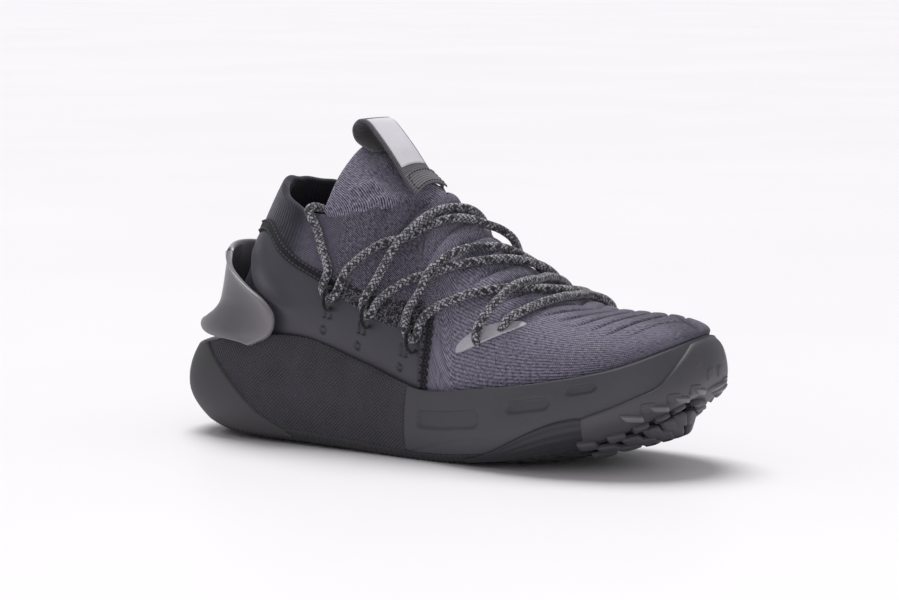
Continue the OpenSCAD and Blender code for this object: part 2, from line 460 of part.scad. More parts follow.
translate(shift) {
  outsole_heel();
  outsole_midfoot();
  outsole_forefoot();
  toe_bumper();
  foam_core();
  heel_cap();
  mesh_wrap();
  midsole_carrier();
  midsole_forefoot();
  strobel_board();
  insole();
  rear_lining();
  ankle_padding();
  heel_counter();
  toe_lining();
  quarter_lateral();
  quarter_medial();
  vamp_knit();
  vamp_flex_panel();
  toe_box_knit();
  rib_knit_collar();
  collar_seam_tape();
  tongue_top();
  seam_stitch_lateral();
  seam_stitch_medial();
  edge_strip_lateral();
  edge_strip_medial();
  eyelet_film_lateral();
  eyelet_film_medial();
  lace_loops();
  lace();
  lace_aglets();
  heel_clip();
  clip_badge();
  pull_tab_webbing();
  pull_tab_label();
  pull_tab_base();
}
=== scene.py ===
"""Knit running shoe, right foot: the visible pieces over the CAD frame.

Sizes are millimetres in the shoe's own frame, heel at x = 0, and become metres in put().
The upper is a surface up(u, v, o): u counts stations round the shoe, v runs from the sole to the
crest or collar, o is the height above the surface. The sole wall is wall(u, w, o).
"""

import json
import math

import bpy
import numpy as np
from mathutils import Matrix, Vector


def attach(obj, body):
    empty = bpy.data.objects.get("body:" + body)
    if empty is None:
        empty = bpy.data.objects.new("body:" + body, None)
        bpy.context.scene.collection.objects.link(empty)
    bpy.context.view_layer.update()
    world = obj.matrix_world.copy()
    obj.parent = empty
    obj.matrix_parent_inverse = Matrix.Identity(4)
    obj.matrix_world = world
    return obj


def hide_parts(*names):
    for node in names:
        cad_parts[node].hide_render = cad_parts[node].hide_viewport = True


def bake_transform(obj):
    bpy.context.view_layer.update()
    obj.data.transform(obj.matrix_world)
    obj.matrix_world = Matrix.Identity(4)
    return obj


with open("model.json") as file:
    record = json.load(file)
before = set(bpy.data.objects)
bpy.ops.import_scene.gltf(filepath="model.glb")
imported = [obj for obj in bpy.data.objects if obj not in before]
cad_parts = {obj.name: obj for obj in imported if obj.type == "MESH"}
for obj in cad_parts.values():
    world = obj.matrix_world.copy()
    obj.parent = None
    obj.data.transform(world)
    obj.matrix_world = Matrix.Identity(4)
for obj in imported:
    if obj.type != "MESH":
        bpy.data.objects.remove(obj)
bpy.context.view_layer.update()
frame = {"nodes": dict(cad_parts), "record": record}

MM = 0.001
SHIFT = np.array([-149.39, 1.28, 0.0])
# stations round the shoe: 0 at the heel, TOE at the toe, the inner side going back to STATIONS
TOE = 11
STATIONS = 22
MM_PER_U = 34

# ---- camera ----

LOOK_AT = Vector((0.0006, 0.0013, 0.074))
CAMERA_TURN = math.radians(34)
CAMERA_RISE = math.radians(6.5)
CAMERA_AWAY = 1.6
LENS_MM = 128.1
SENSOR_MM = 36


def add_object(name, data):
    ob = bpy.data.objects.new(name, data)
    bpy.context.scene.collection.objects.link(ob)
    return ob


def make_camera():
    data = bpy.data.cameras.new("camera")
    data.lens = LENS_MM
    data.sensor_width = SENSOR_MM
    cam = add_object("camera", data)
    flat = CAMERA_AWAY * math.cos(CAMERA_RISE)
    way = Vector((flat * math.sin(CAMERA_TURN), -flat * math.cos(CAMERA_TURN),
                  CAMERA_AWAY * math.sin(CAMERA_RISE)))
    cam.location = LOOK_AT + way
    cam.rotation_euler = (-way).to_track_quat("-Z", "Y").to_euler()
    bpy.context.scene.camera = cam


make_camera()

# ---- the shoe's lines, as in the part's source ----

# ground-plan outline of the sole, heel, outer side, toe, inner side
OUTLINE = [[-1,0],[3,-20],[17,-36],[48,-44],[88,-44],[126,-44],[162,-47],[200,-53],[236,-52],
           [269,-39],[289,-17],[296,8],[289,31],[268,46],[236,51],[200,48],[162,41],[126,36],
           [88,36],[48,38],[17,32],[3,18]]
# line where the upper enters the sole
ENTRY = [[24,0,48],[27,-14,48],[38,-27,48.5],[58,-36,53],[90,-38.5,54.5],[126,-38.5,44],
         [162,-41.5,34.5],[200,-47,38.5],[234,-46,44],[263,-34.5,51],[282,-15,60],[290,8,65],
         [283,26,62],[263,40,54],[234,45,46.5],[200,42,41],[162,35,38],[126,31,46],[90,31,55],
         [58,32,56],[38,25,49],[27,13,48]]
COLLAR = [[146,6,125.5],[122,23,124],[92,28,119],[76,28,123],[63,22,128],[55,11,131],[53,0,131.5],
          [55,-11,130.5],[63,-22,125],[76,-28,118],[92,-28,114.5],[122,-23,121],[146,6,125.5]]
CREST = [[146,6,125.5],[190,2,93],[222,3,76.8],[250,5,74.2],[273,7,73.6],[286,8,67]]
TONGUE_EDGE = [[92,-28,114.5],[99,-20,137],[101,0,150],[99,20,137],[92,28,119]]
BULGE = [[2,20,19,20],[3,20,10,20],[6,22,4,20],[6,24,3,20],[4,26,3,18],[2,34,4,22],[3,34,20,4],
         [4,30,26,2],[4,22,28,1],[4,13,24,1],[4,7,12,1],[3,4,3,1]]
WALL_LOW = [11,10,6,3,2,1,0,3,9,17,26,32,27,18,9,3,0,1,2,3,6,9]
WALL_TOP = [46,45.5,46.5,53,55,44.5,35,39,44.5,51.5,60,65,62,54.5,47,41.5,38.5,46.5,55.5,55,47,45.5]
PULL_LOW = [14,13,10,6,4,3,4,7,10,14,16,17,16,14,10,7,4,3,4,6,10,13]
PULL_TOP = [6,6,5,4,3,2.5,2.5,2.5,3,3,4.5,6,4.5,3,3,2.5,2.5,2.5,3,4,5,6]
KEEL = [6,1,0,0,0,0,0,0,0,0,0,1.5,5,11,19,28]
BED = [28,28,28,27,26,25,23.5,22,20.5,19.5,19,19.5,21,25.5,33,41]
QUARTER_EDGE = [0.62,0.66,0.72,0.64,0.48,0.28,0.26,0.26]
TAB_PATH = [[138.4,129.9],[132,135],[127,139.8],[119.5,148.5],[111.5,157],[107,161],[103.3,161.6],
            [100.8,158.6],[102,154.4],[106.5,151.4],[112.5,148.9]]
TAB_DROOP = [4.4,3.0,1.6,0.7,0.3,0.2,0.2,0.2,0.2,0.2,0.2]
CLIP_MID = [0.13,0.155,0.19,0.25,0.33,0.43,0.54]
CLIP_V = [-0.02,0.015,0.09,0.19,0.31,0.43,0.5]
CLIP_HALF = [3.1,3.42,3.52,3.45,3.08,2.2,0.8]
CLIP_OUT = [16.5,14,10.5,7.5,7.5,9,11]
CLIP_EDGE = [8.5,6,4.5,4.5,5.5,8,10.5]


def spline(points, at, closed=False):
    """Catmull-Rom curve through the rows of points, at parameters at."""
    p = np.asarray(points, float)
    plain = p.ndim == 1
    if plain:
        p = p[:, None]
    at = np.asarray(at, float)
    n = len(p)
    if closed:
        at = np.mod(at, n)
        i = np.floor(at).astype(int)
        a, b, c, d = (p[(i + k) % n] for k in (-1, 0, 1, 2))
    else:
        i = np.clip(np.floor(at).astype(int), 0, n - 2)
        p = np.vstack([2 * p[0] - p[1], p, 2 * p[-1] - p[-2]])
        a, b, c, d = (p[i + k] for k in (0, 1, 2, 3))
    t = (at - i)[..., None]
    out = 0.5 * (2 * b + (c - a) * t + (2 * a - 5 * b + 4 * c - d) * t * t
                 + (3 * b - a - 3 * c + d) * t ** 3)
    return out[..., 0] if plain else out


def ring(table, u):
    return spline(table, u, closed=True)


def mirror(u):
    return STATIONS - u


def side(u):
    """Station counted from the heel on either side, 0 to TOE."""
    m = np.mod(u, STATIONS)
    return np.where(m <= TOE, m, mirror(m))


def mix(a, b, t):
    return a + (b - a) * t


def unit(v):
    return v / np.maximum(np.linalg.norm(v, axis=-1, keepdims=True), 1e-9)


def smooth(a, b, x):
    t = np.clip((np.asarray(x, float) - a) / (b - a), 0, 1)
    return t * t * (3 - 2 * t)


def bell(x, width):
    return np.exp(-(x / width) ** 2)


def top_edge(u):
    m = np.mod(u, STATIONS)
    front = spline(CREST, side(u) - 6)
    back = spline(COLLAR, np.where(m > 16, m - 16, m + 6))
    return np.where(((m >= 6) & (m <= 16))[..., None], front, back)


def out_dir(u):
    t = unit(ring(OUTLINE, u + 0.05) - ring(OUTLINE, u - 0.05))
    return np.stack([t[..., 1], -t[..., 0], np.zeros_like(t[..., 0])], -1)


def bez(u, v):
    b, t, n, h = ring(ENTRY, u), top_edge(u), out_dir(u), spline(BULGE, side(u))
    z = np.array([0.0, 0.0, 1.0])
    c = b + n * h[..., :1] + z * h[..., 1:2]
    d = t + n * h[..., 2:3] - z * h[..., 3:4]
    v = np.asarray(v, float)[..., None]
    w = 1 - v
    return w ** 3 * b + 3 * w * w * v * c + 3 * w * v * v * d + v ** 3 * t


def normal(u, v):
    m = np.mod(u, STATIONS)
    x = bez(u + 0.04, v) - bez(u - 0.04, v)
    y = bez(u, v + 0.01) - bez(u, v - 0.01)
    e = (top_edge(u + 0.05) - top_edge(u - 0.05)) * np.where(m < TOE, 1, -1)[..., None]
    over = np.stack([-e[..., 2], np.zeros_like(m), e[..., 0]], -1)
    at_crest = ((v > 0.995) & (m > 6.2) & (m < 15.8))[..., None]
    return unit(np.where(at_crest, over, np.cross(x, y)))


def floats(*values):
    return np.broadcast_arrays(*(np.asarray(a, float) for a in values))


def up(u, v, o):
    """The upper, o mm above its base surface."""
    u, v, o = floats(u, v, o)
    return bez(u, v) + normal(u, v) * o[..., None]


def wall(u, w, o):
    """Sole wall: w from 0 at the tread to 1 at the upper edge, and on to 1.3 along the ledge."""
    u, w, o = floats(u, w, o)
    k = np.clip(w, 0, 1)
    low, top = np.maximum(0, ring(WALL_LOW, u)), ring(WALL_TOP, u)
    pull = (ring(PULL_LOW, u) * np.maximum(0, 1 - 2 * k) ** 2.2
            + ring(PULL_TOP, u) * np.maximum(0, 2 * k - 1) ** 2)
    n = out_dir(u)
    p = ring(OUTLINE, u) + n[..., :2] * (o - pull)[..., None]
    p = np.concatenate([p, (low + (top - low) * k)[..., None]], -1)
    entry = ring(ENTRY, u) - n * 1.0
    entry[..., 2] = top - 0.6
    ledge = smooth(1, 1.3, w)[..., None]
    swell = np.sin(np.pi * ledge) * o[..., None].clip(0, 1)
    return mix(p, entry, ledge) + np.array([0, 0, 0.5]) * swell


def under(u, r, lift):
    """Underside between the wall foot at station u and the keel line."""
    u, r, lift = floats(u, r, lift)
    p, q = wall(u, 0, 0), wall(mirror(u), 0, 0)
    mid = (p + q) / 2
    z = np.maximum(0, spline(KEEL, mid[..., 0] / 20))
    out = mix(p, mid, r[..., None])
    out[..., 2] = z + (p[..., 2] - z) * np.maximum(0, 1 - 2 * r) ** 1.6 + lift
    return out


def bed(u, o, lift):
    """Just inside the rim, at the height of the foot bed."""
    p = ring(ENTRY, u) + out_dir(u) * np.asarray(o, float)[..., None]
    p[..., 2] = spline(BED, ring(ENTRY, u)[..., 0] / 20) + lift
    return p


def quarter_edge(u):
    return spline(QUARTER_EDGE, side(u))


def rib_length(u):
    """Length in mm of the upper from the sole to the crest or collar at station u."""
    v = np.linspace(0, 1, 25)
    u = np.asarray(u, float)[..., None]
    p = bez(u + 0 * v, v + 0 * u)
    return np.linalg.norm(np.diff(p, axis=-2), axis=-1).sum(-1)


# ---- mesh building ----

def put(name, verts, faces, uvs, marks=None, sharp=None):
    """A mesh object from points in mm, with its cloth coordinates and marks."""
    me = bpy.data.meshes.new(name)
    me.from_pydata(((np.asarray(verts) + SHIFT) * MM).tolist(), [], faces)
    me.polygons.foreach_set("use_smooth", [True] * len(me.polygons))
    loops = np.empty(len(me.loops), np.int32)
    me.loops.foreach_get("vertex_index", loops)
    cloth = me.uv_layers.new(name="cloth")
    cloth.data.foreach_set("uv", np.asarray(uvs, np.float32)[loops].ravel())
    for key, values in (marks or {}).items():
        mark = me.attributes.new(key, "FLOAT", "POINT")
        mark.data.foreach_set("value", np.asarray(values, np.float32).ravel())
    me.validate()
    if sharp:
        me.set_sharp_from_angle(angle=math.radians(sharp))
    return add_object(name, me)


def grid(a, b):
    return np.meshgrid(a, b, indexing="ij")


def grid_faces(nu, nv, start=0, flip=False):
    i, j = grid(np.arange(nu - 1), np.arange(nv - 1))
    k = start + i * nv + j
    quads = np.stack([k, k + nv, k + nv + 1, k + 1], -1)
    return quads.reshape(-1, 4)[:, ::-1 if flip else 1].tolist()


def travel(p):
    """Distance walked along a row of points."""
    return np.concatenate([[0], np.cumsum(np.linalg.norm(np.diff(p, axis=0), axis=1))])


def read_at(at, s, rows):
    """Rows of three values, read off at the distances at."""
    return np.stack([np.interp(at, s, rows[:, i]) for i in range(3)], -1)


def rounded(d):
    """Quarter of a circle: 0 at d = 0, upright there, to 1 at d = 1 and beyond."""
    return np.sqrt(1 - (1 - np.clip(d, 0, 1)) ** 2)


def lengths(p):
    """Distance walked both ways over a grid of points, in centimetres."""
    s = np.linalg.norm(np.diff(p, axis=0), axis=-1)
    s = np.vstack([np.zeros((1, p.shape[1])), np.cumsum(s.mean(1, keepdims=True) + 0 * s, axis=0)])
    t = np.linalg.norm(np.diff(p, axis=1), axis=-1)
    t = np.hstack([np.zeros((p.shape[0], 1)), np.cumsum(t, axis=1)])
    return np.stack([s, t], -1) / 10


def sheet(name, p, uv=None, marks=None, flip=False, sharp=None):
    """A grid of points as one smooth surface; flip turns its face over."""
    if flip:
        p = p[::-1]
    uv = lengths(p) if uv is None else uv
    return put(name, p.reshape(-1, 3), grid_faces(*p.shape[:2]), uv.reshape(-1, 2), marks, sharp)


def sweep(name, path, radius, around, shape=None):
    """A tube along path; shape(angle fraction, distance) scales the radius."""
    path = np.asarray(path, float)
    t = unit(np.gradient(path, axis=0))
    f = np.zeros_like(path)
    f[0] = unit(np.cross(t[0], [0.3, 0.2, 1]))
    for i in range(1, len(path)):
        a = f[i - 1] - t[i] * np.dot(f[i - 1], t[i])
        f[i] = a / np.linalg.norm(a)
    b = np.cross(t, f)
    s = travel(path)
    k = np.arange(around + 1) / around
    ang = 2 * np.pi * k[:, None]
    r = radius * (shape(k, s[:, None])[..., None] if shape else 1.0)
    p = path[:, None] + r * (np.cos(ang) * f[:, None] + np.sin(ang) * b[:, None])
    uv = np.stack(np.broadcast_arrays(k[None, :], s[:, None] / 10), -1)
    last = (len(path) - 1) * (around + 1)
    caps = [list(range(around)), [last + j for j in range(around)][::-1]]
    return put(name, p.reshape(-1, 3), grid_faces(len(path), around + 1) + caps, uv.reshape(-1, 2))


def resample(points, step):
    """Even steps along a smooth curve through points."""
    n = len(points)
    p = spline(points, np.linspace(0, n - 1, n * 24))
    s = travel(p)
    return read_at(np.linspace(0, s[-1], int(s[-1] / step)), s, p), s[-1]


def rolled(v0, v1, length, top, bottom, r, n):
    """Cross-section of a layer from v0 to v1: rounded edges of radius r that drop to bottom."""
    a = np.linspace(0, np.pi / 2, 5)
    back, rise = r * (1 - np.cos(a)) / length, bottom + (top - bottom) * np.sin(a)
    e0 = np.stack([v0 + back, rise], -1)
    e1 = np.stack([v1 - back, rise], -1)[::-1]
    v = np.linspace(v0 + r / length, v1 - r / length, n)[1:-1]
    return np.concatenate([e0, np.stack([v, 0 * v + top], -1), e1])


def layer(us, low, high, top, bottom, r, n):
    """Grids u, v, o of a layer on the upper between two edge lines, edges rounded."""
    vo = np.array([rolled(low(u), high(u), float(rib_length(u)), top, bottom, r, n) for u in us])
    return np.repeat(us[:, None], vo.shape[1], 1), vo[..., 0], vo[..., 1]


def end_rows(u, mm_per_u=MM_PER_U):
    """Distance in mm from a grid's first or last row, whichever is nearer."""
    return np.minimum(u - u[0, 0], u[-1, 0] - u) * mm_per_u


def tapered(a, b, n, r_u=0.03):
    """Stations from a to b, closer in the last r_u at both ends."""
    x = np.linspace(a, b, n)
    s = np.sign(b - a)
    ends = np.array([0, 0.1, 0.25, 0.5]) * r_u * s
    return np.concatenate([a + ends, x[1:-1], (b - ends)[::-1]])


# ---- materials ----

def shade(c, k):
    return tuple(x * k for x in c)


class Surface:
    """A Principled material with its pattern nodes."""

    def __init__(self, name, **sockets):
        self.mat = bpy.data.materials.new(name)
        self.mat.use_nodes = True
        self.nodes = self.mat.node_tree.nodes
        self.links = self.mat.node_tree.links
        self.shader = self.nodes["Principled BSDF"]
        for key, value in sockets.items():
            self.shader.inputs[key.replace("_", " ")].default_value = value

    def node(self, kind, inputs=None, **props):
        n = self.nodes.new(kind)
        for k, v in props.items():
            setattr(n, k, v)
        for k, v in (inputs or {}).items():
            self.feed(n.inputs[k], v)
        return n

    def feed(self, socket, value):
        if isinstance(value, bpy.types.NodeSocket):
            self.links.new(value, socket)
        else:
            socket.default_value = value

    def calc(self, op, a, b=0.0, c=0.0):
        return self.node("ShaderNodeMath", {0: a, 1: b, 2: c}, operation=op).outputs[0]

    def mul(self, a, b):
        return self.calc("MULTIPLY", a, b)

    def mad(self, a, b, c):
        """a times b plus c."""
        return self.calc("MULTIPLY_ADD", a, b, c)

    def between(self, fac, a, b):
        return self.node("ShaderNodeMix", {0: fac, 2: a, 3: b}).outputs[0]

    def pair(self, a, b):
        return self.node("ShaderNodeCombineXYZ", {0: a, 1: b}).outputs[0]

    def cloth(self):
        """The two cloth coordinates, in centimetres."""
        uv = self.node("ShaderNodeUVMap", uv_map="cloth").outputs[0]
        return self.node("ShaderNodeSeparateXYZ", {0: uv}).outputs[:2]

    def spot(self):
        return self.node("ShaderNodeTexCoord").outputs["Object"]

    def noise(self, scale, detail, rough=0.6, at=None):
        inputs = {"Vector": self.spot() if at is None else at, "Scale": scale, "Detail": detail,
                  "Roughness": rough}
        return self.node("ShaderNodeTexNoise", inputs).outputs["Fac"]

    def attribute(self, name):
        return self.node("ShaderNodeAttribute", attribute_name=name).outputs["Fac"]

    def wave(self, x, per_cm, turn=0.0):
        """0 to 1 and back, per_cm times in a centimetre."""
        a = self.mad(x, 2 * math.pi * per_cm, turn)
        return self.mad(self.calc("SINE", a), 0.5, 0.5)

    def blend(self, fac, a, b):
        n = self.node("ShaderNodeMix", data_type="RGBA")
        self.feed(n.inputs["Factor"], fac)
        for k, value in ((6, a), (7, b)):
            plain = not isinstance(value, bpy.types.NodeSocket)
            self.feed(n.inputs[k], (*value, 1) if plain else value)
        return n.outputs[2]

    def remap(self, x, a, b, c=0.0, d=1.0):
        return self.node("ShaderNodeMapRange", {0: x, 1: a, 2: b, 3: c, 4: d}).outputs[0]

    def colour(self, fac, a, b):
        self.links.new(self.blend(fac, a, b), self.shader.inputs["Base Color"])

    def shades(self, tone, low, high, base, dark, light):
        """From dark times base where tone is low to light times base where it is high."""
        self.colour(self.remap(tone, low, high), shade(base, dark), shade(base, light))

    def rough(self, fac, a, b):
        self.links.new(self.remap(fac, 0, 1, a, b), self.shader.inputs["Roughness"])

    def bump(self, height, mm, strength):
        inputs = {"Height": height, "Distance": mm * MM, "Strength": strength}
        bumped = self.node("ShaderNodeBump", inputs).outputs[0]
        self.links.new(bumped, self.shader.inputs["Normal"])
        return self.mat


KNIT = (0.112, 0.104, 0.140)
FILM_DARK = (0.047, 0.045, 0.060)
FOAM = (0.055, 0.054, 0.062)
RUBBER = (0.022, 0.021, 0.026)
# rows and stitches in a centimetre of knit
LADDERS, RUNGS = 5.9, 10.5
FINE_ROWS, FINE_RUNGS = 9.2, 13.0


def knit(name, base, sheen=0.35):
    """Knit: rows run with the first cloth coordinate. Where the mark rib is 1 the rows are coarse
    ladders with a dark hole at every stitch, where it is 0 they are fine."""
    s = Surface(name, Roughness=0.85, Sheen_Weight=sheen, Sheen_Roughness=0.35,
                Sheen_Tint=(0.86, 0.84, 1, 1), Specular_IOR_Level=0.25)
    x, y = s.cloth()
    yy = s.calc("ADD", y, s.remap(s.noise(90, 2), 0.3, 0.7, -0.012, 0.012))
    xx = s.calc("ADD", x, s.remap(s.noise(160, 2), 0.3, 0.7, -0.02, 0.02))
    row = s.calc("FLOOR", s.mul(yy, LADDERS))
    ladder = s.wave(yy, LADDERS, -math.pi / 2)
    rung = s.wave(s.mad(row, 0.037, xx), RUNGS)
    coarse = s.mul(s.calc("POWER", ladder, 0.55), s.mad(rung, 0.3, 0.7))
    hole = s.mul(s.calc("SUBTRACT", 1.0, ladder), s.mul(rung, 0.55))
    coarse = s.calc("ADD", coarse, hole)
    fine_row = s.wave(yy, FINE_ROWS)
    fine_rung = s.wave(s.mad(fine_row, 0.02, xx), FINE_RUNGS)
    fine = s.mad(fine_row, 0.72, s.mul(fine_rung, 0.28))
    h = s.between(s.attribute("rib"), fine, coarse)
    fuzz = s.noise(2400, 2)
    cells = s.pair(s.mul(xx, 5.0), s.mul(yy, FINE_ROWS))
    streak = s.remap(s.noise(1.0, 2, 0.6, at=cells), 0.32, 0.68)
    # colour follows the stitch height h: partly the yarn's own light and dark strokes, partly
    # painted shade in the holes and low rows and painted highlight on the raised stitches
    tone = s.mad(streak, 0.5, s.mul(h, 0.62))
    tone = s.mad(fuzz, 0.3, tone)
    s.shades(tone, 0.42, 1.14, base, 0.12, 2.7)
    return s.bump(s.mad(fuzz, 0.12, h), 0.6, 0.9)


def rib_knit(name, base, plain):
    """Collar rib: ribs stand up across the first cloth coordinate; where the mark front is 1 the
    ribs have faded into plain knit."""
    s = Surface(name, Roughness=0.88, Sheen_Weight=0.3, Sheen_Roughness=0.4,
                Sheen_Tint=(0.88, 0.87, 1, 1), Specular_IOR_Level=0.2)
    x, y = s.cloth()
    front = s.attribute("front")
    broken = s.remap(s.noise(110, 2), 0.4, 0.6)
    ribs = s.mul(s.wave(x, 4.6), s.mad(broken, 0.7, 0.3))
    loops = s.wave(s.calc("ADD", y, s.mul(s.wave(x, 9.2), 0.04)), 9.5)
    h = s.between(front, s.mad(ribs, 0.6, s.mul(loops, 0.4)), loops)
    fuzz = s.noise(2600, 2)
    tone = s.mad(fuzz, 0.4, s.mul(h, 0.5))
    tone = s.mad(s.noise(300, 3), 0.5, tone)
    low = s.blend(front, shade(base, 0.5), shade(plain, 0.35))
    high = s.blend(front, shade(base, 1.6), shade(plain, 1.5))
    s.colour(s.remap(tone, 0.35, 1.1), low, high)
    return s.bump(s.mad(fuzz, 0.12, h), 0.35, 0.7)


def moulded(name, base, rough, grain, deep, spec=0.4):
    """Moulded film, foam skin or rubber: fine grain, uneven gloss."""
    s = Surface(name, Specular_IOR_Level=spec)
    big, small = s.noise(28, 3), s.noise(grain, 4, 0.7)
    tone = s.mad(small, 0.5, s.mul(big, 0.5))
    gloss = s.mad(big, 0.6, s.mul(small, 0.4))
    s.shades(tone, 0.3, 0.7, base, 0.82, 1.18)
    s.rough(s.remap(gloss, 0.3, 0.7), rough - 0.08, rough + 0.08)
    return s.bump(small, deep, 0.7)


def clip_plastic(name, middle, edge):
    """Satin plastic, its colour painted darker in the middle and paler towards its edges: a painted
    dark reflection in the middle, painted highlight along the edges.
    """
    s = Surface(name, Specular_IOR_Level=0.55, Coat_Weight=0.15, Coat_Roughness=0.3)
    x, y = s.cloth()
    x, y = (s.calc("POWER", s.calc("ABSOLUTE", a), k) for a, k in ((x, 5.0), (y, 3.0)))
    fine = s.noise(600, 3)
    out = s.mad(fine, 0.12, s.calc("MAXIMUM", x, y))
    out.node.use_clamp = True
    # painted shade for the dark reflection in the middle, painted highlight towards the edges
    s.colour(out, middle, edge)
    s.rough(fine, 0.3, 0.42)
    return s.bump(fine, 0.015, 0.7)


def woven(name, base, per_cm, sheen=0.2, slant=0.0):
    """Fine woven or mesh textile: a grid of raised crossings with dark pores."""
    s = Surface(name, Roughness=0.85, Sheen_Weight=sheen, Sheen_Roughness=0.4,
                Specular_IOR_Level=0.25)
    x, y = s.cloth()
    a = s.mad(y, slant, x)
    b = s.mad(x, -slant, y)
    h = s.mul(s.wave(a, per_cm), s.wave(b, per_cm))
    h = s.calc("POWER", h, 0.6)
    fuzz = s.noise(2200, 2)
    tone = s.mad(s.noise(50, 3), 0.5, s.mul(fuzz, 0.4))
    tone = s.mad(h, 0.6, tone)
    s.shades(tone, 0.4, 1.1, base, 0.5, 1.4)
    return s.bump(s.mad(fuzz, 0.15, h), 0.4, 0.8)


def heather(name, dark, light):
    """Yarn of two colours: small patches, most of them dark."""
    s = Surface(name, Roughness=0.9, Sheen_Weight=0.2, Specular_IOR_Level=0.2)
    n = s.node("ShaderNodeTexVoronoi", {"Vector": s.spot(), "Scale": 1400}, feature="F1")
    spots = s.node("ShaderNodeSeparateColor", {0: n.outputs["Color"]}).outputs[0]
    s.colour(s.remap(spots, 0.55, 0.8), dark, light)
    return s.bump(s.mul(n.outputs["Distance"], -1.0), 0.5, 0.7)


STRANDS = 5
PLAITS_PER_CM = 1.75


def braid(name, dark, light):
    """Round braid: two sets of crossing yarns, some of them pale."""
    s = Surface(name, Roughness=0.72, Sheen_Weight=0.25, Specular_IOR_Level=0.35)
    x, y = s.cloth()
    turn = s.mul(x, STRANDS)
    along = s.mul(y, PLAITS_PER_CM * STRANDS / 2)
    a, b = s.calc("ADD", turn, along), s.calc("SUBTRACT", turn, along)
    ia, ib = s.calc("FLOOR", a), s.calc("FLOOR", b)
    over = s.calc("FLOORED_MODULO", s.calc("ADD", ia, ib), 2.0)
    ha, hb = (s.calc("SINE", s.mul(s.calc("FRACT", k), math.pi)) for k in (a, b))
    h = s.between(over, ha, hb)
    cell = s.pair(s.calc("FLOORED_MODULO", ia, 10.0), ib)
    flecks = s.node("ShaderNodeTexWhiteNoise", {"Vector": cell}).outputs[0]
    yarn = s.mad(s.noise(1100, 2), 0.35, s.calc("POWER", flecks, 0.8))
    tone = s.mul(s.calc("POWER", h, 1.2), yarn)
    s.colour(s.remap(tone, 0.3, 1.0), dark, light)
    return s.bump(h, 0.5, 0.8)


def grosgrain(name, base, per_cm):
    """Ribbed webbing: cords across it, thread marks along each cord."""
    s = Surface(name, Roughness=0.7, Sheen_Weight=0.25, Specular_IOR_Level=0.35)
    x, y = s.cloth()
    ribs = s.wave(x, per_cm)
    cord = s.calc("FLOOR", s.mul(x, per_cm))
    thread = s.wave(s.mad(cord, 0.05, y), 16)
    h = s.mad(ribs, 0.8, s.mul(thread, 0.2))
    tone = s.mad(s.noise(400, 3), 0.4, s.mul(h, 0.6))
    s.shades(tone, 0.2, 0.8, base, 0.5, 1.45)
    return s.bump(h, 0.35, 0.8)


M_KNIT = knit("knit dark", KNIT)
# the same knit 1.45 times paler on the tongue: painted highlight on its top, which faces the light
M_TONGUE_PAINTED_LIGHT = knit("knit tongue", shade(KNIT, 1.45), sheen=0.5)
M_RIB = rib_knit("rib knit", (0.030, 0.029, 0.038), shade(KNIT, 1.2))
M_QUARTER = moulded("moulded panel", FILM_DARK, rough=0.46, grain=1500, deep=0.06, spec=0.55)
M_TAPE = woven("seam tape", (0.020, 0.019, 0.026), per_cm=14, sheen=0.1)
M_THREAD = moulded("thread", (0.050, 0.047, 0.062), rough=0.6, grain=2500, deep=0.08)
M_THREAD_DARK = moulded("dark thread", (0.016, 0.015, 0.020), rough=0.7, grain=2500, deep=0.08)
M_HEATHER = heather("heathered strip", (0.016, 0.015, 0.020), (0.135, 0.130, 0.155))
M_FILM = moulded("pale film", (0.42, 0.40, 0.45), rough=0.36, grain=700, deep=0.05, spec=0.6)
M_LACE = braid("braided lace", (0.022, 0.021, 0.027), (0.42, 0.41, 0.46))
M_LOOP = heather("loop cord", (0.008, 0.008, 0.010), (0.030, 0.029, 0.036))
# dark middle and pale edge of the clip: painted reflection shade and painted highlight
M_CLIP = clip_plastic("satin heel clip", (0.048, 0.047, 0.056), (0.190, 0.180, 0.197))
M_BADGE = moulded("badge", (0.022, 0.017, 0.020), rough=0.28, grain=800, deep=0.02, spec=0.6)
M_FOAM = moulded("foam skin", shade(FOAM, 1.12), rough=0.5, grain=1200, deep=0.04)
M_CAP = moulded("heel cap", (0.050, 0.048, 0.054), rough=0.58, grain=1300, deep=0.04)
M_RUBBER = moulded("tread rubber", RUBBER, rough=0.42, grain=900, deep=0.03, spec=0.5)
M_TOE = moulded("toe rubber", (0.060, 0.058, 0.067), rough=0.5, grain=900, deep=0.04, spec=0.5)
# paler rubber for the slanted bars between the toe lugs: painted highlight on their sloped tops
M_TOE_PAINTED_HIGHLIGHT = moulded("toe rubber painted highlight", (0.150, 0.145, 0.163), rough=0.5, grain=900, deep=0.04,
                     spec=0.5)
M_WRAP = woven("mesh wrap", (0.058, 0.055, 0.068), per_cm=5.4, slant=0.9)
M_LINING = woven("lining", (0.022, 0.021, 0.026), per_cm=12, sheen=0.1)
M_INSOLE = woven("insole cloth", (0.045, 0.043, 0.052), per_cm=11)
M_WEB = grosgrain("webbing", (0.085, 0.080, 0.092), per_cm=11.0)
M_BASE = grosgrain("tab base", (0.092, 0.087, 0.102), per_cm=7.0)
M_LABEL = moulded("label", (0.70, 0.68, 0.73), rough=0.5, grain=1600, deep=0.03)


def finish_piece(ob, mat, slot, body, *nodes):
    """Material, replaced nodes and body; for three values of body the piece is left unattached, its
    transform baked into the mesh. The slot is not used.
    """
    ob.data.materials.clear()
    ob.data.materials.append(mat)
    if nodes:
        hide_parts(*nodes)
    if isinstance(body, str):
        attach(ob, body)
    else:
        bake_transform(ob)
    return ob


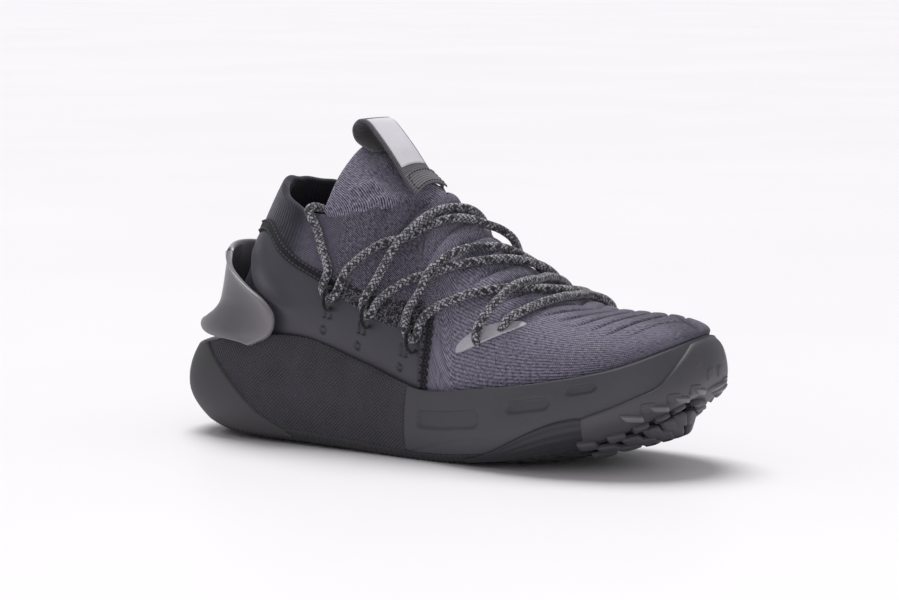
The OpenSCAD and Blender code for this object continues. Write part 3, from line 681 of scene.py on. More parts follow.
JOINTS = {j["name"]: j for j in frame["record"]["behaviour"]["joints"]}
FLEX = np.array(JOINTS["toe_flex"]["pos_m"])
FORWARD = np.cross(JOINTS["toe_flex"]["axis"], [0, 0, 1.0])
FORWARD *= np.sign(FORWARD[0])
BLEND_M = 0.016
BEND = ("forefoot", tuple(FLEX - FORWARD * BLEND_M), tuple(FLEX + FORWARD * BLEND_M))
TILT = np.array(JOINTS["tongue_tilt"]["pos_m"])

# ---- lace ----

# turning points held by the loops, and the route: station, height along the side, lift
LOOPS = [[4.43,0.315],[5.085,0.265],[5.915,0.21],[16.08,0.375],[15.4,0.355],[15,0.365]]
ROUTE = [[3.95,0.9,3.4],[4.15,0.72,3.4],[4.36,0.52,3.4],[4.3,0.4,3.4],[4.38,0.32,3.4],
         [4.48,0.32,3.4],[4.57,0.4,3.4],[4.65,0.52,3.4],[4.9,0.64,3.4],[5.22,0.7,3.3],[5.62,0.68,3],
         [6.02,0.72,3.3],[6.24,0.86,3.5],[6.36,0.96,3.6],[15.56,0.97,3.8],[15.48,0.9,6],
         [15.4,0.8,6.5],[15.47,0.62,4.5],[15.53,0.46,3.6],[15.45,0.36,3.4],[15.35,0.36,3.4],
         [15.26,0.46,3.4],[15.15,0.58,3.6],[15.08,0.76,3.8],[15.13,0.9,3.8],[6.76,0.98,3.8],
         [6.66,0.86,4],[6.52,0.74,4.4],[6.38,0.62,6.4],[6.22,0.5,8],[6.06,0.4,5.6],[5.83,0.33,3.8],
         [5.77,0.26,3.4],[5.86,0.21,3.4],[5.97,0.22,3.4],[6.08,0.3,3.4],[6.3,0.37,3.4],
         [6.56,0.44,3.4],[6.8,0.53,3.2],[7.05,0.64,3],[7.28,0.76,3],[7.5,0.88,3.2],[7.62,0.97,3.4],
         [14.3,0.95,3.6],[14.3,0.82,3.6],[14.42,0.62,3.4],[14.55,0.44,3.9],[14.42,0.36,3.9],
         [14.28,0.42,3.9],[14.2,0.58,3.4],[14.16,0.8,3.5],[14.1,0.95,3.5],[7.86,0.94,3.4],
         [7.8,0.83,3.4],[7.7,0.7,3.4],[7.55,0.55,3.4],[7.4,0.45,3.4],[7.33,0.4,0.6],
         [7.22,0.35,-2.6],[7.05,0.27,-2.6],[6.94,0.26,0.4],[6.98,0.32,3.5],[7.08,0.42,5],
         [7.22,0.54,7.4],[7.3,0.68,8.2],[7.36,0.82,6.6],[7.38,0.95,4.4],[14.66,0.96,4],
         [14.68,0.82,3.8],[14.8,0.62,3.6],[14.86,0.46,3.4],[14.95,0.37,3.4],[15.05,0.37,3.4],
         [15.1,0.46,3.6],[14.94,0.62,4],[14.92,0.8,5],[15,0.93,4],[6.9,0.93,3.6],[6.8,0.82,3.5],
         [6.64,0.7,3.4],[6.42,0.59,3.2],[6.16,0.5,3],[5.84,0.46,3.3],[5.48,0.41,3.4],
         [5.24,0.34,3.4],[5.14,0.27,3.4],[5.03,0.27,3.4],[5,0.35,3.4],[5.16,0.44,3.8],
         [5.34,0.54,5.6],[5.52,0.62,8],[5.74,0.69,8],[5.96,0.76,5.6],[6.1,0.86,3.8],[6.2,0.97,3.4],
         [15.76,0.92,3.4],[15.78,0.78,3.4],[15.88,0.62,3.4],[15.96,0.48,3.4],[16.03,0.38,3.4],
         [16.13,0.38,3.4],[16.22,0.46,3.4],[16.6,0.62,3.4],[17.2,0.8,3.4],[17.9,0.92,3.6]]
LACE_IN = [[97,-16,80],[96,-17,89],[95,-18,99],[94,-19,108],[91,-21,116],[88,-26,119.5],
           [86,-32,118.5]]
LACE_OUT = [[88,32.5,122.5],[86,26,124],[88,19,116],[90,17,106],[92,15,96],[93,14,87]]
LACE_D = 4.4
LACE_STEP = 0.62
SMOOTHINGS = 16


def plait(turn, s):
    """Height of the braid's surface: the upper yarn of each crossing stands proud."""
    along = s / 10 * PLAITS_PER_CM * STRANDS / 2
    a, b = turn * STRANDS + along, turn * STRANDS - along
    over = np.mod(np.floor(a) + np.floor(b), 2)
    h = np.where(over > 0.5, np.sin(np.pi * np.mod(b, 1)), np.sin(np.pi * np.mod(a, 1)))
    return 0.955 + 0.065 * h


def make_lace():
    r = np.array(ROUTE)
    lift = r[:, 2] - 0.2 - 0.5 * smooth(0.5, 0.8, r[:, 1])
    points = np.vstack([LACE_IN, up(r[:, 0], r[:, 1], lift), LACE_OUT])
    path, _ = resample(points, LACE_STEP)
    # the braid resists sharp turns
    for _ in range(SMOOTHINGS):
        path[1:-1] = (path[:-2] + 2 * path[1:-1] + path[2:]) / 4
    path, length = resample(path, LACE_STEP)
    ob = sweep("braided_lace", path, LACE_D / 2, around=24, shape=plait)
    finish_piece(ob, M_LACE, "lace_grey", "rear_shoe", "lace", "lace_aglets")
    print("lace length mm", round(length))


make_lace()


def make_loops():
    """Short cords through the film, arched over the lace at its turning points."""
    half, middle, rise, radius = 5.4, 3.4, 5.2, 1.05
    a = np.radians(np.linspace(215, -35, 40))
    for k, (u, v) in enumerate(LOOPS):
        path = up(u, v + half * np.cos(a) / float(rib_length(u)), middle + rise * np.sin(a))
        ob = sweep(f"loop_{k}", path, radius, around=10)
        finish_piece(ob, M_LOOP, "loop_cord", "rear_shoe", "lace_loops")


make_loops()

# ---- upper ----

RIBS_FROM, RIBS_TO, RIB_PITCH = 112.0, 272.0, 9.4
MID_COL = 60


def crest_waves(p):
    """Soft cross ribs over the instep and curved creases on the toe, fading down the sides."""
    crest_y = 4
    side_way = np.abs(p[..., 1] - crest_y)
    toe = smooth(205, 228, p[..., 0])
    x = p[..., 0] + (0.2 + 0.3 * toe) * side_way + 0.9 * np.sin(p[..., 1] / 9.0 + p[..., 0] / 31.0)
    run = np.mod(x / RIB_PITCH, 1)
    ridge = np.sin(np.pi * run) ** 0.7 - 0.6
    groove = bell(np.minimum(run, 1 - run), 0.10)
    near = 1 - smooth(20, 36, side_way)
    part = smooth(RIBS_FROM, RIBS_FROM + 12, x) * (1 - smooth(RIBS_TO + 2, RIBS_TO + 16, x))
    return near * part * mix(1.5 * ridge - groove, 0.5 * ridge - 2.0 * groove, toe)


def soft_wobble(p):
    x, y, z = p[..., 0], p[..., 1], p[..., 2]
    return 0.28 * np.sin(x / 13 + y / 21) * np.sin(z / 11 + 1.3) + 0.18 * np.sin(x / 6.1 + z / 8.3)


def fuller(p):
    """Extra height where the knit stands away from the foot, inside the front of the collar."""
    x, y = p[..., 0], p[..., 1]
    p = p.copy()
    p[..., 2] += 4.5 * bell(x - 134, 14) * bell(y - 17, 9.5)
    return p


def knit_rows(sign):
    """One side of the knit: rows along the shoe, columns from the sole to the crest."""
    us = np.concatenate([np.linspace(4.2, 5.9, 60), np.linspace(5.95, 11, 330)])
    low = np.where(us < 5.93, quarter_edge(us) - 0.05, -0.03)
    cols = np.linspace(0, 1, 110)
    v = low[:, None] + (1 - low[:, None]) * cols[None, :]
    u = np.repeat(us[:, None], len(cols), 1)
    u = u if sign < 0 else mirror(u)
    base = up(u, v, 0.0)
    o = 0.15 + crest_waves(base) + soft_wobble(base) * 0.6
    o = o * (1 - smooth(10.75, 11, us)[:, None] * 0.6)
    # the same lift on both sides of the crest, so that they close
    p = fuller(up(u, v, o))
    s = np.linalg.norm(np.diff(bez(u, v), axis=1), axis=-1)
    down = np.hstack([np.cumsum(s[:, ::-1], axis=1)[:, ::-1], np.zeros((len(us), 1))])
    x = travel(p[:, MID_COL])
    # near the ankle the rows run down the slope of the instep, further on along the shoe
    crest_z = np.interp(base[..., 0], [96, 146, 190, 222], [168, 125.5, 93, 76.8])
    slope = np.abs(base[..., 1] - 6) + 0.8 * (crest_z - base[..., 2])
    fall = 0.78 * base[..., 0] - 0.62 * base[..., 2]
    front = smooth(5.9, 6.6, us)[:, None]
    at = int(np.searchsorted(us, 6.25))
    across = mix(slope, mix(down, 72.0 * (1 - v), 0.75), front)
    along = mix(fall + x[at] - fall[at, MID_COL], x[:, None], front)
    uv = np.stack([along, across], -1) / 10
    rib = smooth(13, 26, down) * smooth(5.7, 6.1, us)[:, None]
    return p, uv, rib


def make_knit():
    (p, uv, rib), (q, uw, rob) = knit_rows(-1), knit_rows(1)
    nu, nv = p.shape[:2]
    at = np.abs(p[:, -1] - q[:, -1]).sum(-1) < 2.5
    meet = (p[:, -1] + q[:, -1]) / 2
    p[at, -1] = meet[at]
    q[at, -1] = meet[at]
    verts = np.vstack([p.reshape(-1, 3), q.reshape(-1, 3)])
    faces = grid_faces(nu, nv) + grid_faces(nu, nv, nu * nv, flip=True)
    # the inner side shares the outer side's crest and toe points
    shared = [i * nv + nv - 1 for i in range(nu) if at[i]] + [(nu - 1) * nv + j for j in range(nv)]
    shared = {nu * nv + k: k for k in shared}
    faces = [[shared.get(k, k) for k in f] for f in faces]
    ob = put("knit_upper", verts, faces, np.vstack([uv.reshape(-1, 2), uw.reshape(-1, 2)]),
             {"rib": np.concatenate([rib.ravel(), rob.ravel()])})
    finish_piece(ob, M_KNIT, "knit_dark", BEND, "vamp_knit", "vamp_flex_panel", "toe_box_knit")


make_knit()


def collar_front(w):
    """Collar edge round the front: w from 0 at the outer side to 4 at the inner side."""
    return np.where((w <= 2)[..., None], spline(COLLAR, 10 + w), spline(COLLAR, w - 2))


def tongue_swell(w, t):
    return 1.5 * np.sin(np.pi * t) * np.sin(np.pi / 4 * w)


def tongue_surface(w, t, o):
    """From the collar edge (t = 0) to the tongue's upper edge (t = 1)."""
    u = np.where(w <= 2, 4 + w, 14 + w)
    a = collar_front(w)
    b = spline(TONGUE_EDGE, w)
    chord = b - a
    long = np.linalg.norm(chord, axis=-1, keepdims=True)
    rise = unit(bez(u, np.full_like(w, 1.0)) - bez(u, np.full_like(w, 0.96)))
    k = (0.55 * smooth(0.1, 1.0, np.abs(w - 2)) * smooth(2.0, 1.5, np.abs(w - 2)))[..., None]
    start = mix(chord, rise * long, k)
    n = unit(np.stack([0.5 + 0 * w, (w - 2) * 0.55, 0.9 + 0 * w], -1))
    o = (o + tongue_swell(w, t))[..., None]
    t = t[..., None]
    p = ((2 * t ** 3 - 3 * t * t + 1) * a + (t ** 3 - 2 * t * t + t) * start
         + (3 * t * t - 2 * t ** 3) * b + (t ** 3 - t * t) * chord)
    return p + n * o


def make_tongue():
    ws = np.linspace(0.12, 3.88, 96)
    a = np.linspace(0, np.pi, 9)
    long = np.linalg.norm(spline(TONGUE_EDGE, ws) - collar_front(ws), axis=-1)
    outside, inside = 46, 20
    rows_t, rows_o = [], []
    for w, l in zip(ws, long):
        over = 1.5 * np.sin(a) / max(l, 8)
        rows_t.append(np.concatenate([np.linspace(-0.06, 0.98, outside), 0.98 + over,
                                      np.linspace(0.97, 0.02, inside)]))
        rows_o.append(np.concatenate([np.full(outside, 1.2), -0.3 + 1.5 * np.cos(a),
                                      np.full(inside, -1.8)]))
    t, o = np.array(rows_t), np.array(rows_o)
    w = np.repeat(ws[:, None], t.shape[1], 1)
    base = tongue_surface(w, t, 0 * t)
    front = (np.arange(t.shape[1]) < outside)[None, :]
    x = base[..., 0] + 0.18 * np.abs(base[..., 1])
    wave = np.sin(2 * np.pi * (base[..., 2] * 0.9 - x * 0.35) / 10.5)
    fade = smooth(0.02, 0.2, t) * (1 - smooth(0.5, 0.72, t)) * (1 - smooth(0.9, 1.5, np.abs(w - 2)))
    ease = np.where(t < 0.06, smooth(0.08, -0.04, t), 0.0)
    under_tab = smooth(0.85, 0.6, np.abs(w - 2)) * smooth(0.66, 0.5, t)
    sunk = under_tab * (tongue_swell(w, np.clip(t, 0, 1)) + 1.5)
    o = o + np.where(front, (0.9 * wave * fade - ease) * (1 - under_tab) - sunk, 0)
    p = fuller(tongue_surface(w, t, o))
    uv = lengths(p)[..., ::-1]
    ob = sheet("tongue", p, uv=uv)
    start = tuple(TILT + np.array([0.004, 0, -0.002]))
    end = tuple(TILT + np.array([-0.008, 0, 0.011]))
    finish_piece(ob, M_TONGUE_PAINTED_LIGHT, "knit_dark", ("tongue", start, end), "tongue_top")


make_tongue()


def mark_pit(u, v, long_u, long_v):
    """Pressed marks under each lace loop: two short bars and a small ring."""
    pit = np.zeros_like(u)
    for cu, cv in ((4.36, 0.205), (4.93, 0.175), (5.68, 0.145)):
        du, dv = (u - cu) * long_u, (v - cv) * long_v
        for off in (-1.3, 1.5):
            along = smooth(3.4, 2.6, np.abs(dv - 1.0))
            pit += smooth(1.0, 0.35, np.abs(du - off - 0.15 * dv)) * along
        pit += smooth(1.0, 0.4, np.abs(du - 2.8)) * smooth(1.4, 0.8, np.abs(dv + 0.6)) * 0.4
        ring_r = np.hypot(du + 2.4, dv + 7.2)
        pit += smooth(0.7, 0.25, np.abs(ring_r - 1.5)) * 0.7
    return pit


PANEL_END = 6.02


def make_quarter(name, a, b, node):
    lateral = a < TOE
    us = tapered(a, b, 70)
    if lateral:
        us = np.sort(np.concatenate([us, np.linspace(4.15, 5.9, 100)]))
    u, v, o = layer(us, lambda u: -0.03, quarter_edge, 0.55, -1.2, 1.3, 84)
    long_u = np.linalg.norm(bez(u + 0.05, v) - bez(u - 0.05, v), axis=-1) / 0.1
    long_v = rib_length(us)[:, None]
    # the first and last rows are rounded down too
    dropped = mix(-0.9, o, rounded(end_rows(u, 32.0) / 1.6))
    o = np.minimum(o, dropped) if lateral else dropped
    s = side(u)
    roll_at = mix(0.66, 0.20, np.clip((s - 1.7) / 1.9, 0, 1))
    roll = bell(v - roll_at, 0.07) * smooth(0.2, 1.2, s) * (1 - smooth(3.0, 4.0, s))
    dip = bell(v - roll_at + 0.19, 0.10) * smooth(0.2, 1.2, s) * (1 - smooth(2.6, 3.6, s))
    o = o + 4.2 * roll * smooth(0.0, 0.16, quarter_edge(u) - v) - 1.7 * dip * smooth(0.0, 0.1, v)
    if lateral:
        o = o - 1.5 * np.clip(mark_pit(u, v, long_u, long_v), 0, 1)
    ob = sheet(name, up(u, v, o))
    finish_piece(ob, M_QUARTER, "quarter_film", "rear_shoe", node)


make_quarter("side_panel_outer", 0.0, PANEL_END, "quarter_lateral")
make_quarter("side_panel_inner", mirror(PANEL_END), STATIONS, "quarter_medial")


def make_collar():
    us = np.linspace(-4.42, 4.42, 150)
    a = np.linspace(0, np.pi, 13)
    rows = []
    for u in us:
        l = float(rib_length(u))
        fold = 2.0 * np.sin(a) / l
        inner = np.linspace(1, 0.42, 22)[1:]
        rows.append(np.concatenate([
            np.stack([np.linspace(float(quarter_edge(u)) + 0.01, 1, 34), np.full(34, 0.2)], -1),
            np.stack([1 + fold, -1.9 + 2.1 * np.cos(a)], -1)[1:-1],
            np.stack([inner, mix(-4.0, -5.0, 1 - inner)], -1)]))
    vo = np.array(rows)
    u = np.repeat(us[:, None], vo.shape[1], 1)
    p = up(u, vo[..., 0], vo[..., 1])
    # the folded edge is a little uneven, as knit is
    lift = 0.5 * np.sin(us * 2.3 + 0.6) + 0.3 * np.sin(us * 5.1)
    p[..., 2] += lift[:, None] * smooth(0.8, 1.0, vo[..., 0])
    front = smooth(3.0, 3.9, np.abs(u)) * smooth(0.3, 0.5, 1.8 - vo[..., 0])
    ob = sheet("rib_collar", p, marks={"front": front})
    finish_piece(ob, M_RIB, "rib_knit", "rear_shoe", "rib_knit_collar")


make_collar()


# pitch, length and radius of the stitches in mm
COLLAR_STITCH = (2.6, 2.0, 0.42)
SEAM_STITCH = (1.9, 3.4, 0.75)
TAB_STITCH = (2.4, 1.8, 0.32)


def stitches(name, line, size, mat, body, nodes=(), slant=0.0):
    """A row of short raised stitches along a line of points with their normals."""
    pts, nrm = line
    pitch, long, radius = size
    s = travel(pts)
    at = np.arange(pitch / 2, s[-1], pitch)
    p, n = read_at(at, s, pts), unit(read_at(at, s, nrm))
    t = unit(read_at(at + 0.5, s, pts) - read_at(at - 0.5, s, pts))
    b = np.cross(n, t)
    verts, faces = [], []
    ks, rs = np.linspace(-1, 1, 7), 8
    for i in range(len(at)):
        lean = slant * (1 if i % 2 else -1)
        d = unit(t[i] * math.cos(lean) + b[i] * math.sin(lean))
        e = np.cross(n[i], d)
        start = len(verts)
        for k in ks:
            r = radius * math.sqrt(max(0.04, 1 - k ** 4))
            c = p[i] + d * (k * long / 2) + n[i] * (radius * 0.9 * (1 - k * k) - radius * 0.35)
            for j in range(rs):
                q = 2 * math.pi * j / rs
                verts.append(c + r * (math.cos(q) * e + math.sin(q) * n[i]))
        for lo in range(start, start + (len(ks) - 1) * rs, rs):
            hi = lo + rs
            faces += [[lo + j, lo + (j + 1) % rs, hi + (j + 1) % rs, hi + j] for j in range(rs)]
        faces += [[start + j for j in range(rs)][::-1], [hi + j for j in range(rs)]]
    verts = np.array(verts)
    finish_piece(put(name, verts, faces, verts[:, :2] / 10), mat, "thread", body, *nodes)


def on_upper(us, vs, o):
    """Points over the upper along a line, with their normals."""
    us, vs = floats(us, vs)
    return up(us, vs, o), normal(us, vs)


def from_edge(dv):
    """Line dv above the side panels' upper edge."""
    return lambda u: float(quarter_edge(u)) + dv


def make_band():
    us = tapered(-4.46, 4.46, 130)
    u, v, o = layer(us, from_edge(-0.01), from_edge(0.068), 1.25, 0.0, 0.9, 10)
    ob = sheet("collar_band", up(u, v, o))
    finish_piece(ob, M_TAPE, "seam_tape", "rear_shoe", "collar_seam_tape")
    line = np.linspace(-4.4, 4.4, 240)
    for name, dv in (("collar_stitch_low", 0.004), ("collar_stitch_high", 0.055)):
        rows = on_upper(line, quarter_edge(line) + dv, 1.2)
        stitches(name, rows, COLLAR_STITCH, M_THREAD, "rear_shoe")


make_band()


def make_strip(name, a, b, node):
    us = tapered(a, b, 60)
    u, v, o = layer(us, from_edge(-0.015), from_edge(0.115), 0.95, 0.0, 0.9, 12)
    ob = sheet(name, up(u, v, o))
    finish_piece(ob, M_HEATHER, "heather", "rear_shoe", node)


make_strip("heather_strip_outer", 4.44, 6.05, "edge_strip_lateral")
make_strip("heather_strip_inner", 15.0, 17.56, "edge_strip_medial")


def same(u):
    return u


def make_seam(name, across, node):
    """Zigzag seam where the side panel ends, thick thread in crossing pairs round a cord."""
    v = np.linspace(0.01, 0.36, 120)
    u = PANEL_END + 0.13 * smooth(0.0, 0.32, v)
    for k, (du, slant, mat) in enumerate(((-0.05, 0.9, M_THREAD), (0.05, -0.9, M_THREAD_DARK))):
        rows = on_upper(across(u + du), v, 0.95)
        stitches(f"{name}_{k}", rows, SEAM_STITCH, mat, "rear_shoe", (node,), slant)
    ob = sweep(f"{name}_cord", up(across(u), v, 0.35), 1.5, around=8)
    finish_piece(ob, M_TAPE, "thread", "rear_shoe", node)


make_seam("seam_outer", same, "seam_stitch_lateral")
make_seam("seam_inner", mirror, "seam_stitch_medial")


def make_film(name, u0, u1, v0, v1, node):
    """Leaf of thin film round two lace holes."""
    k = np.concatenate([[0, 0.004, 0.012], np.linspace(0.03, 0.97, 34), [0.988, 0.996, 1]])
    j = np.array([0.2, 0.5, 0.78, 0.85, 0.9, 0.95, 0.985, 1])
    k, j = grid(k, np.concatenate([-j[::-1], j]))
    half = 0.052 * np.power(np.clip(np.sin(np.pi * k), 0.0, 1), 0.45)
    out = np.maximum(np.abs(j), np.abs(2 * k - 1))
    o = 0.1 + 0.6 * (1 - out ** 14) ** 0.5 + 0.35 * bell(out - 0.86, 0.07)
    ob = sheet(name, up(mix(u0, u1, k), mix(v0, v1, k) + half * j, o), flip=u0 > TOE)
    finish_piece(ob, M_FILM, "eyelet_film", "rear_shoe", node)


make_film("eyelet_leaf_outer", 6.6, 7.66, 0.2, 0.49, "eyelet_film_lateral")
make_film("eyelet_leaf_inner", 13.98, 14.9, 0.56, 0.3, "eyelet_film_medial")

# ---- heel clip ----


def clip_point(j, s, o):
    """Saddle over the heel: j counts the rows of the clip tables, s runs from -1 to 1 across."""
    tables = (CLIP_MID, CLIP_V, CLIP_HALF, CLIP_OUT, CLIP_EDGE)
    mid, end, half, out, edge = (spline(table, j) for table in tables)
    f = np.maximum(0, 1 - s * s)
    return up(half * s, mix(end, mid, f ** 0.7), o + mix(edge, out, f ** 0.8))


def rim(x, span, r):
    """Edge of radius r at x = -1 and 1, where span mm lie between 0 and 1."""
    return rounded((1 - np.abs(x)) * span / r)


def spread(n, tight=2.2):
    """Values from -1 to 1, closer at both ends."""
    x = np.linspace(-1, 1, n)
    return np.sign(x) * (1 - (1 - np.abs(x)) ** tight)


def make_clip():
    ss, tt = grid(spread(84), spread(70))
    jj = (tt + 1) * 3
    span_s, span_t = 70.0, 24.0
    k = np.minimum(rim(ss, span_s, 1.3), rim(tt, span_t, 1.3))
    bead = 0.7 * bell((1 - np.abs(tt)) * span_t, 2.6) + 0.7 * bell((1 - np.abs(ss)) * span_s, 2.8)
    outer = clip_point(jj, ss, 1.2 + 1.3 * k + bead * k)
    inner = clip_point(jj, ss, 1.2 - 1.3 * k)
    nu, nv = ss.shape
    n = nu * nv
    faces = grid_faces(nu, nv) + grid_faces(nu, nv, n, flip=True)
    # the edge joins both faces all the way round
    at = np.arange(n).reshape(nu, nv)
    loop = [*at[:, 0], *at[-1, 1:], *at[-2::-1, -1], *at[0, -2:0:-1]]
    faces += [[int(k) for k in (a, a + n, b + n, b)] for a, b in zip(loop, loop[1:] + loop[:1])]
    uv = np.stack([ss, tt], -1).reshape(-1, 2)
    verts = np.vstack([outer.reshape(-1, 3), inner.reshape(-1, 3)])
    ob = put("heel_saddle", verts, faces, np.vstack([uv, uv]))
    finish_piece(ob, M_CLIP, "clip_tpu", "rear_shoe", "heel_clip")


def make_badge():
    ss, tt = grid(spread(30), spread(40))
    round_s = ss * 0.185 * (1 - 0.12 * tt ** 4)
    jj = 3.5 + 1.5 * tt * (1 - 0.06 * ss ** 4)
    k = np.minimum(rim(ss, 13, 1.1), rim(tt, 18, 1.1))
    frame_line = 0.35 * bell(np.maximum(np.abs(ss), np.abs(tt)) - 0.8, 0.035)
    ob = sheet("plain_badge", clip_point(jj, round_s, 2.4 + 1.3 * k - frame_line))
    finish_piece(ob, M_BADGE, "badge", "rear_shoe", "clip_badge")


make_clip()
make_badge()

# ---- pull tab ----


def strip_point(x, s, width, o):
    """Pull tab: x along its path, s from -1 to 1 across."""
    p = spline(TAB_PATH, x)
    d = unit(spline(TAB_PATH, x + 0.1) - spline(TAB_PATH, x - 0.1))
    nx, nz = d[..., 1], -d[..., 0]
    y = s * width / 2 * (1 + 0.12 * smooth(1.9, 0.2, x))
    droop = spline(TAB_DROOP, x) * s * s
    slant = 0.08 * y * np.maximum(0, 1 - x / 5)
    rise = p[..., 1] + nz * o + 0.5 * smooth(1.2, 0, x) - droop + slant
    return np.stack([p[..., 0] + nx * o, y + 0 * x, rise], -1)


def make_tab_layer(name, x0, x1, width, low, high, mat, slot, node, n=60, edge=0.8):
    """Strip from x0 to x1 along the tab, between the heights low and high, its edges rounded."""
    x = np.linspace(x0, x1, n)
    xx, ss = grid(x, spread(29, 2.6))
    long = travel(spline(TAB_PATH, x))
    end = np.minimum(long, long[-1] - long)[:, None]
    k = np.minimum(rim(ss, width / 2, edge), rounded(end / edge))
    outer = strip_point(xx, ss, width, mix(low, high, k))
    inner = strip_point(xx, ss, width, low + 0 * ss)
    uv = np.stack([long[:, None] / 10 + 0 * ss, ss * width / 20], -1)
    verts = np.vstack([outer.reshape(-1, 3), inner.reshape(-1, 3)])
    faces = grid_faces(*ss.shape, flip=True) + grid_faces(*ss.shape, ss.size)
    ob = put(name, verts, faces, np.vstack([uv.reshape(-1, 2)] * 2))
    finish_piece(ob, mat, slot, "tongue", node)


TAB_W = 24.0
make_tab_layer("pull_loop", 0.2, 10, TAB_W, 0.7, 2.1, M_WEB, "webbing", "pull_tab_webbing", n=220)
make_tab_layer("blank_label", 2.05, 5.25, 20.5, 2.0, 2.6, M_LABEL, "label", "pull_tab_label",
               edge=0.5)
make_tab_layer("tab_base", 0.05, 1.5, TAB_W + 0.6, 2.0, 3.0, M_BASE, "webbing", "pull_tab_base",
               edge=0.7)


def make_base_stitches():
    """A row down each side of the base and one across each end."""
    aside = 0.86
    x, s = np.linspace(0.15, 1.4, 40), np.linspace(-aside, aside, 40)
    for name, a, b in (("0", x, -aside), ("1", x, aside), ("end_0", 0.2, s), ("end_1", 1.35, s)):
        a, b = a + 0 * s, b + 0 * x
        p = strip_point(a, b, TAB_W, 3.0)
        n = strip_point(a, b, TAB_W, 4.0) - p
        stitches(f"base_stitch_{name}", (p, n), TAB_STITCH, M_THREAD_DARK, "tongue")


make_base_stitches()

# ---- sole ----

LEDGE = 1.3


def pill(u, w, cu, cw, half_u, half_w):
    """Pressed panel on the sole wall with a soft edge and rounded corners."""
    long, high, corner = 33.0, 34.0, 3
    dx = np.abs(u - cu) * long - half_u * long + corner
    dz = np.abs(w - cw) * high - half_w * high + corner
    d = np.hypot(np.maximum(dx, 0), np.maximum(dz, 0)) + np.minimum(np.maximum(dx, dz), 0) - corner
    return smooth(0.5, -0.5, d)


def make_carrier():
    us = np.concatenate([[5.74, 5.745, 5.755], np.linspace(5.77, 8.9, 150),
                         np.linspace(8.93, 13.1, 110), np.linspace(13.15, 16.23, 60),
                         [16.245, 16.255, 16.26]])
    u, w = grid(us, np.concatenate([np.linspace(0.04, 1.0, 60), np.linspace(1.02, LEDGE, 10)]))
    o = 0.35 * rounded(end_rows(u) / 1.2) - 0.15
    for panel in ((6.53, 0.60, 0.52, 0.125), (7.82, 0.72, 0.32, 0.085), (8.56, 0.83, 0.21, 0.06)):
        o = o - 1.5 * pill(u, w, *panel)
    tilt = smooth(0.42, 0.9, w) * smooth(6.4, 8.5, u) * 0.5
    line = bell(w - 0.2 - 0.12 * np.sin((u - 6.2) * 2.2), 0.012) * (u < 7.2) * 0.35
    ob = sheet("front_carrier", wall(u, w, o + tilt - line))
    finish_piece(ob, M_FOAM, "foam_dark", BEND, "midsole_carrier", "midsole_forefoot")


make_carrier()


def make_wrap():
    us = tapered(-5.79, 5.79, 260, 0.04)
    u, w = grid(us, np.concatenate([np.linspace(0.02, 1.0, 46), np.linspace(1.02, LEDGE, 10)]))
    o = 0.55 * rounded(end_rows(u)) - 0.1
    o = o + 0.25 * np.sin(u * 3.1 + w * 4) * smooth(0.1, 0.5, w)
    ob = sheet("textile_wrap", wall(u, w, o))
    finish_piece(ob, M_WRAP, "wrap_textile", "rear_shoe", "mesh_wrap", "foam_core")


make_wrap()


def cap_edge(w):
    """Station where the heel cap ends, on both sides."""
    return 3.75 - 1.5 * w + 0.9 * np.maximum(0, 0.25 - w)


def make_cap():
    ws = np.concatenate([np.linspace(0.04, 0.99, 50), [1.0, 1.02, 1.05, 1.1]])
    tt, w = grid(spread(110, 1.3), ws)
    o = 0.2 + 1.1 * rim(tt, 95, 1.4) * np.maximum(smooth(1.1, 0.98, w), 0.25)
    ob = sheet("heel_shell", wall(cap_edge(w) * tt, w, o))
    finish_piece(ob, M_CAP, "foam_dark", "rear_shoe", "heel_cap")


make_cap()


SIDES = (("outer", same, True), ("inner", mirror, False))


def teeth_every(pitch, s):
    """Triangle wave: 1 at every pitch, 0 half way between."""
    return np.abs(np.mod(s / pitch, 1) * 2 - 1)


def make_tread(name, a, b, body, node, teeth=3.3, n=240):
    """Underside and its rim: the rim is toothed, the underside has grooves."""
    rs = np.linspace(0, 1, 22)
    rim_w = np.array([0.12, 0.11, 0.09, 0.07, 0.05, 0.03, 0.015])
    rim_o = np.array([0.2, 0.9, 1.1, 1.1, 1.0, 0.9, 0.8])
    for label, across, flip in SIDES:
        us = across(np.linspace(a, b, n))
        tooth = smooth(0.3, 0.7, teeth_every(teeth, travel(wall(us, 0, 0))))[:, None]
        us = us[:, None]
        rows = wall(us, rim_w, rim_o * (0.55 + 0.45 * tooth))
        base = under(us, rs, 0.0)
        groove = smooth(0.2, 0.45, teeth_every(9.0, base[..., 0] + 0.6 * np.abs(base[..., 1])))
        groove = 1 - groove * smooth(0.1, 0.2, rs) * (1 - smooth(0.93, 0.99, rs))
        rim_cut = (1 - tooth) * (1 - smooth(0.02, 0.12, rs))
        low = under(us, rs, 1.6 * groove * smooth(0.12, 0.2, rs) + 0.9 * rim_cut)
        low[..., 2] = np.maximum(low[..., 2], 0.02)
        ob = sheet(f"{name}_{label}", np.concatenate([rows, low], axis=1), flip=flip, sharp=40)
        finish_piece(ob, M_RUBBER, "rubber_dark", body, node)


make_tread("heel_tread", 0.0, 4.6, "rear_shoe", "outsole_heel")
make_tread("waist_tread", 4.6, 7.3, "rear_shoe", "outsole_midfoot", n=130)
make_tread("ball_tread", 7.3, 10.98, "forefoot", "outsole_forefoot", teeth=6.0, n=170)


def wave_top(u):
    """Upper edge of the forefoot rubber on the sole wall."""
    s = side(u)
    return 0.06 + 0.40 * smooth(6.7, 8.4, s) - 0.22 * smooth(8.45, 9.0, s)


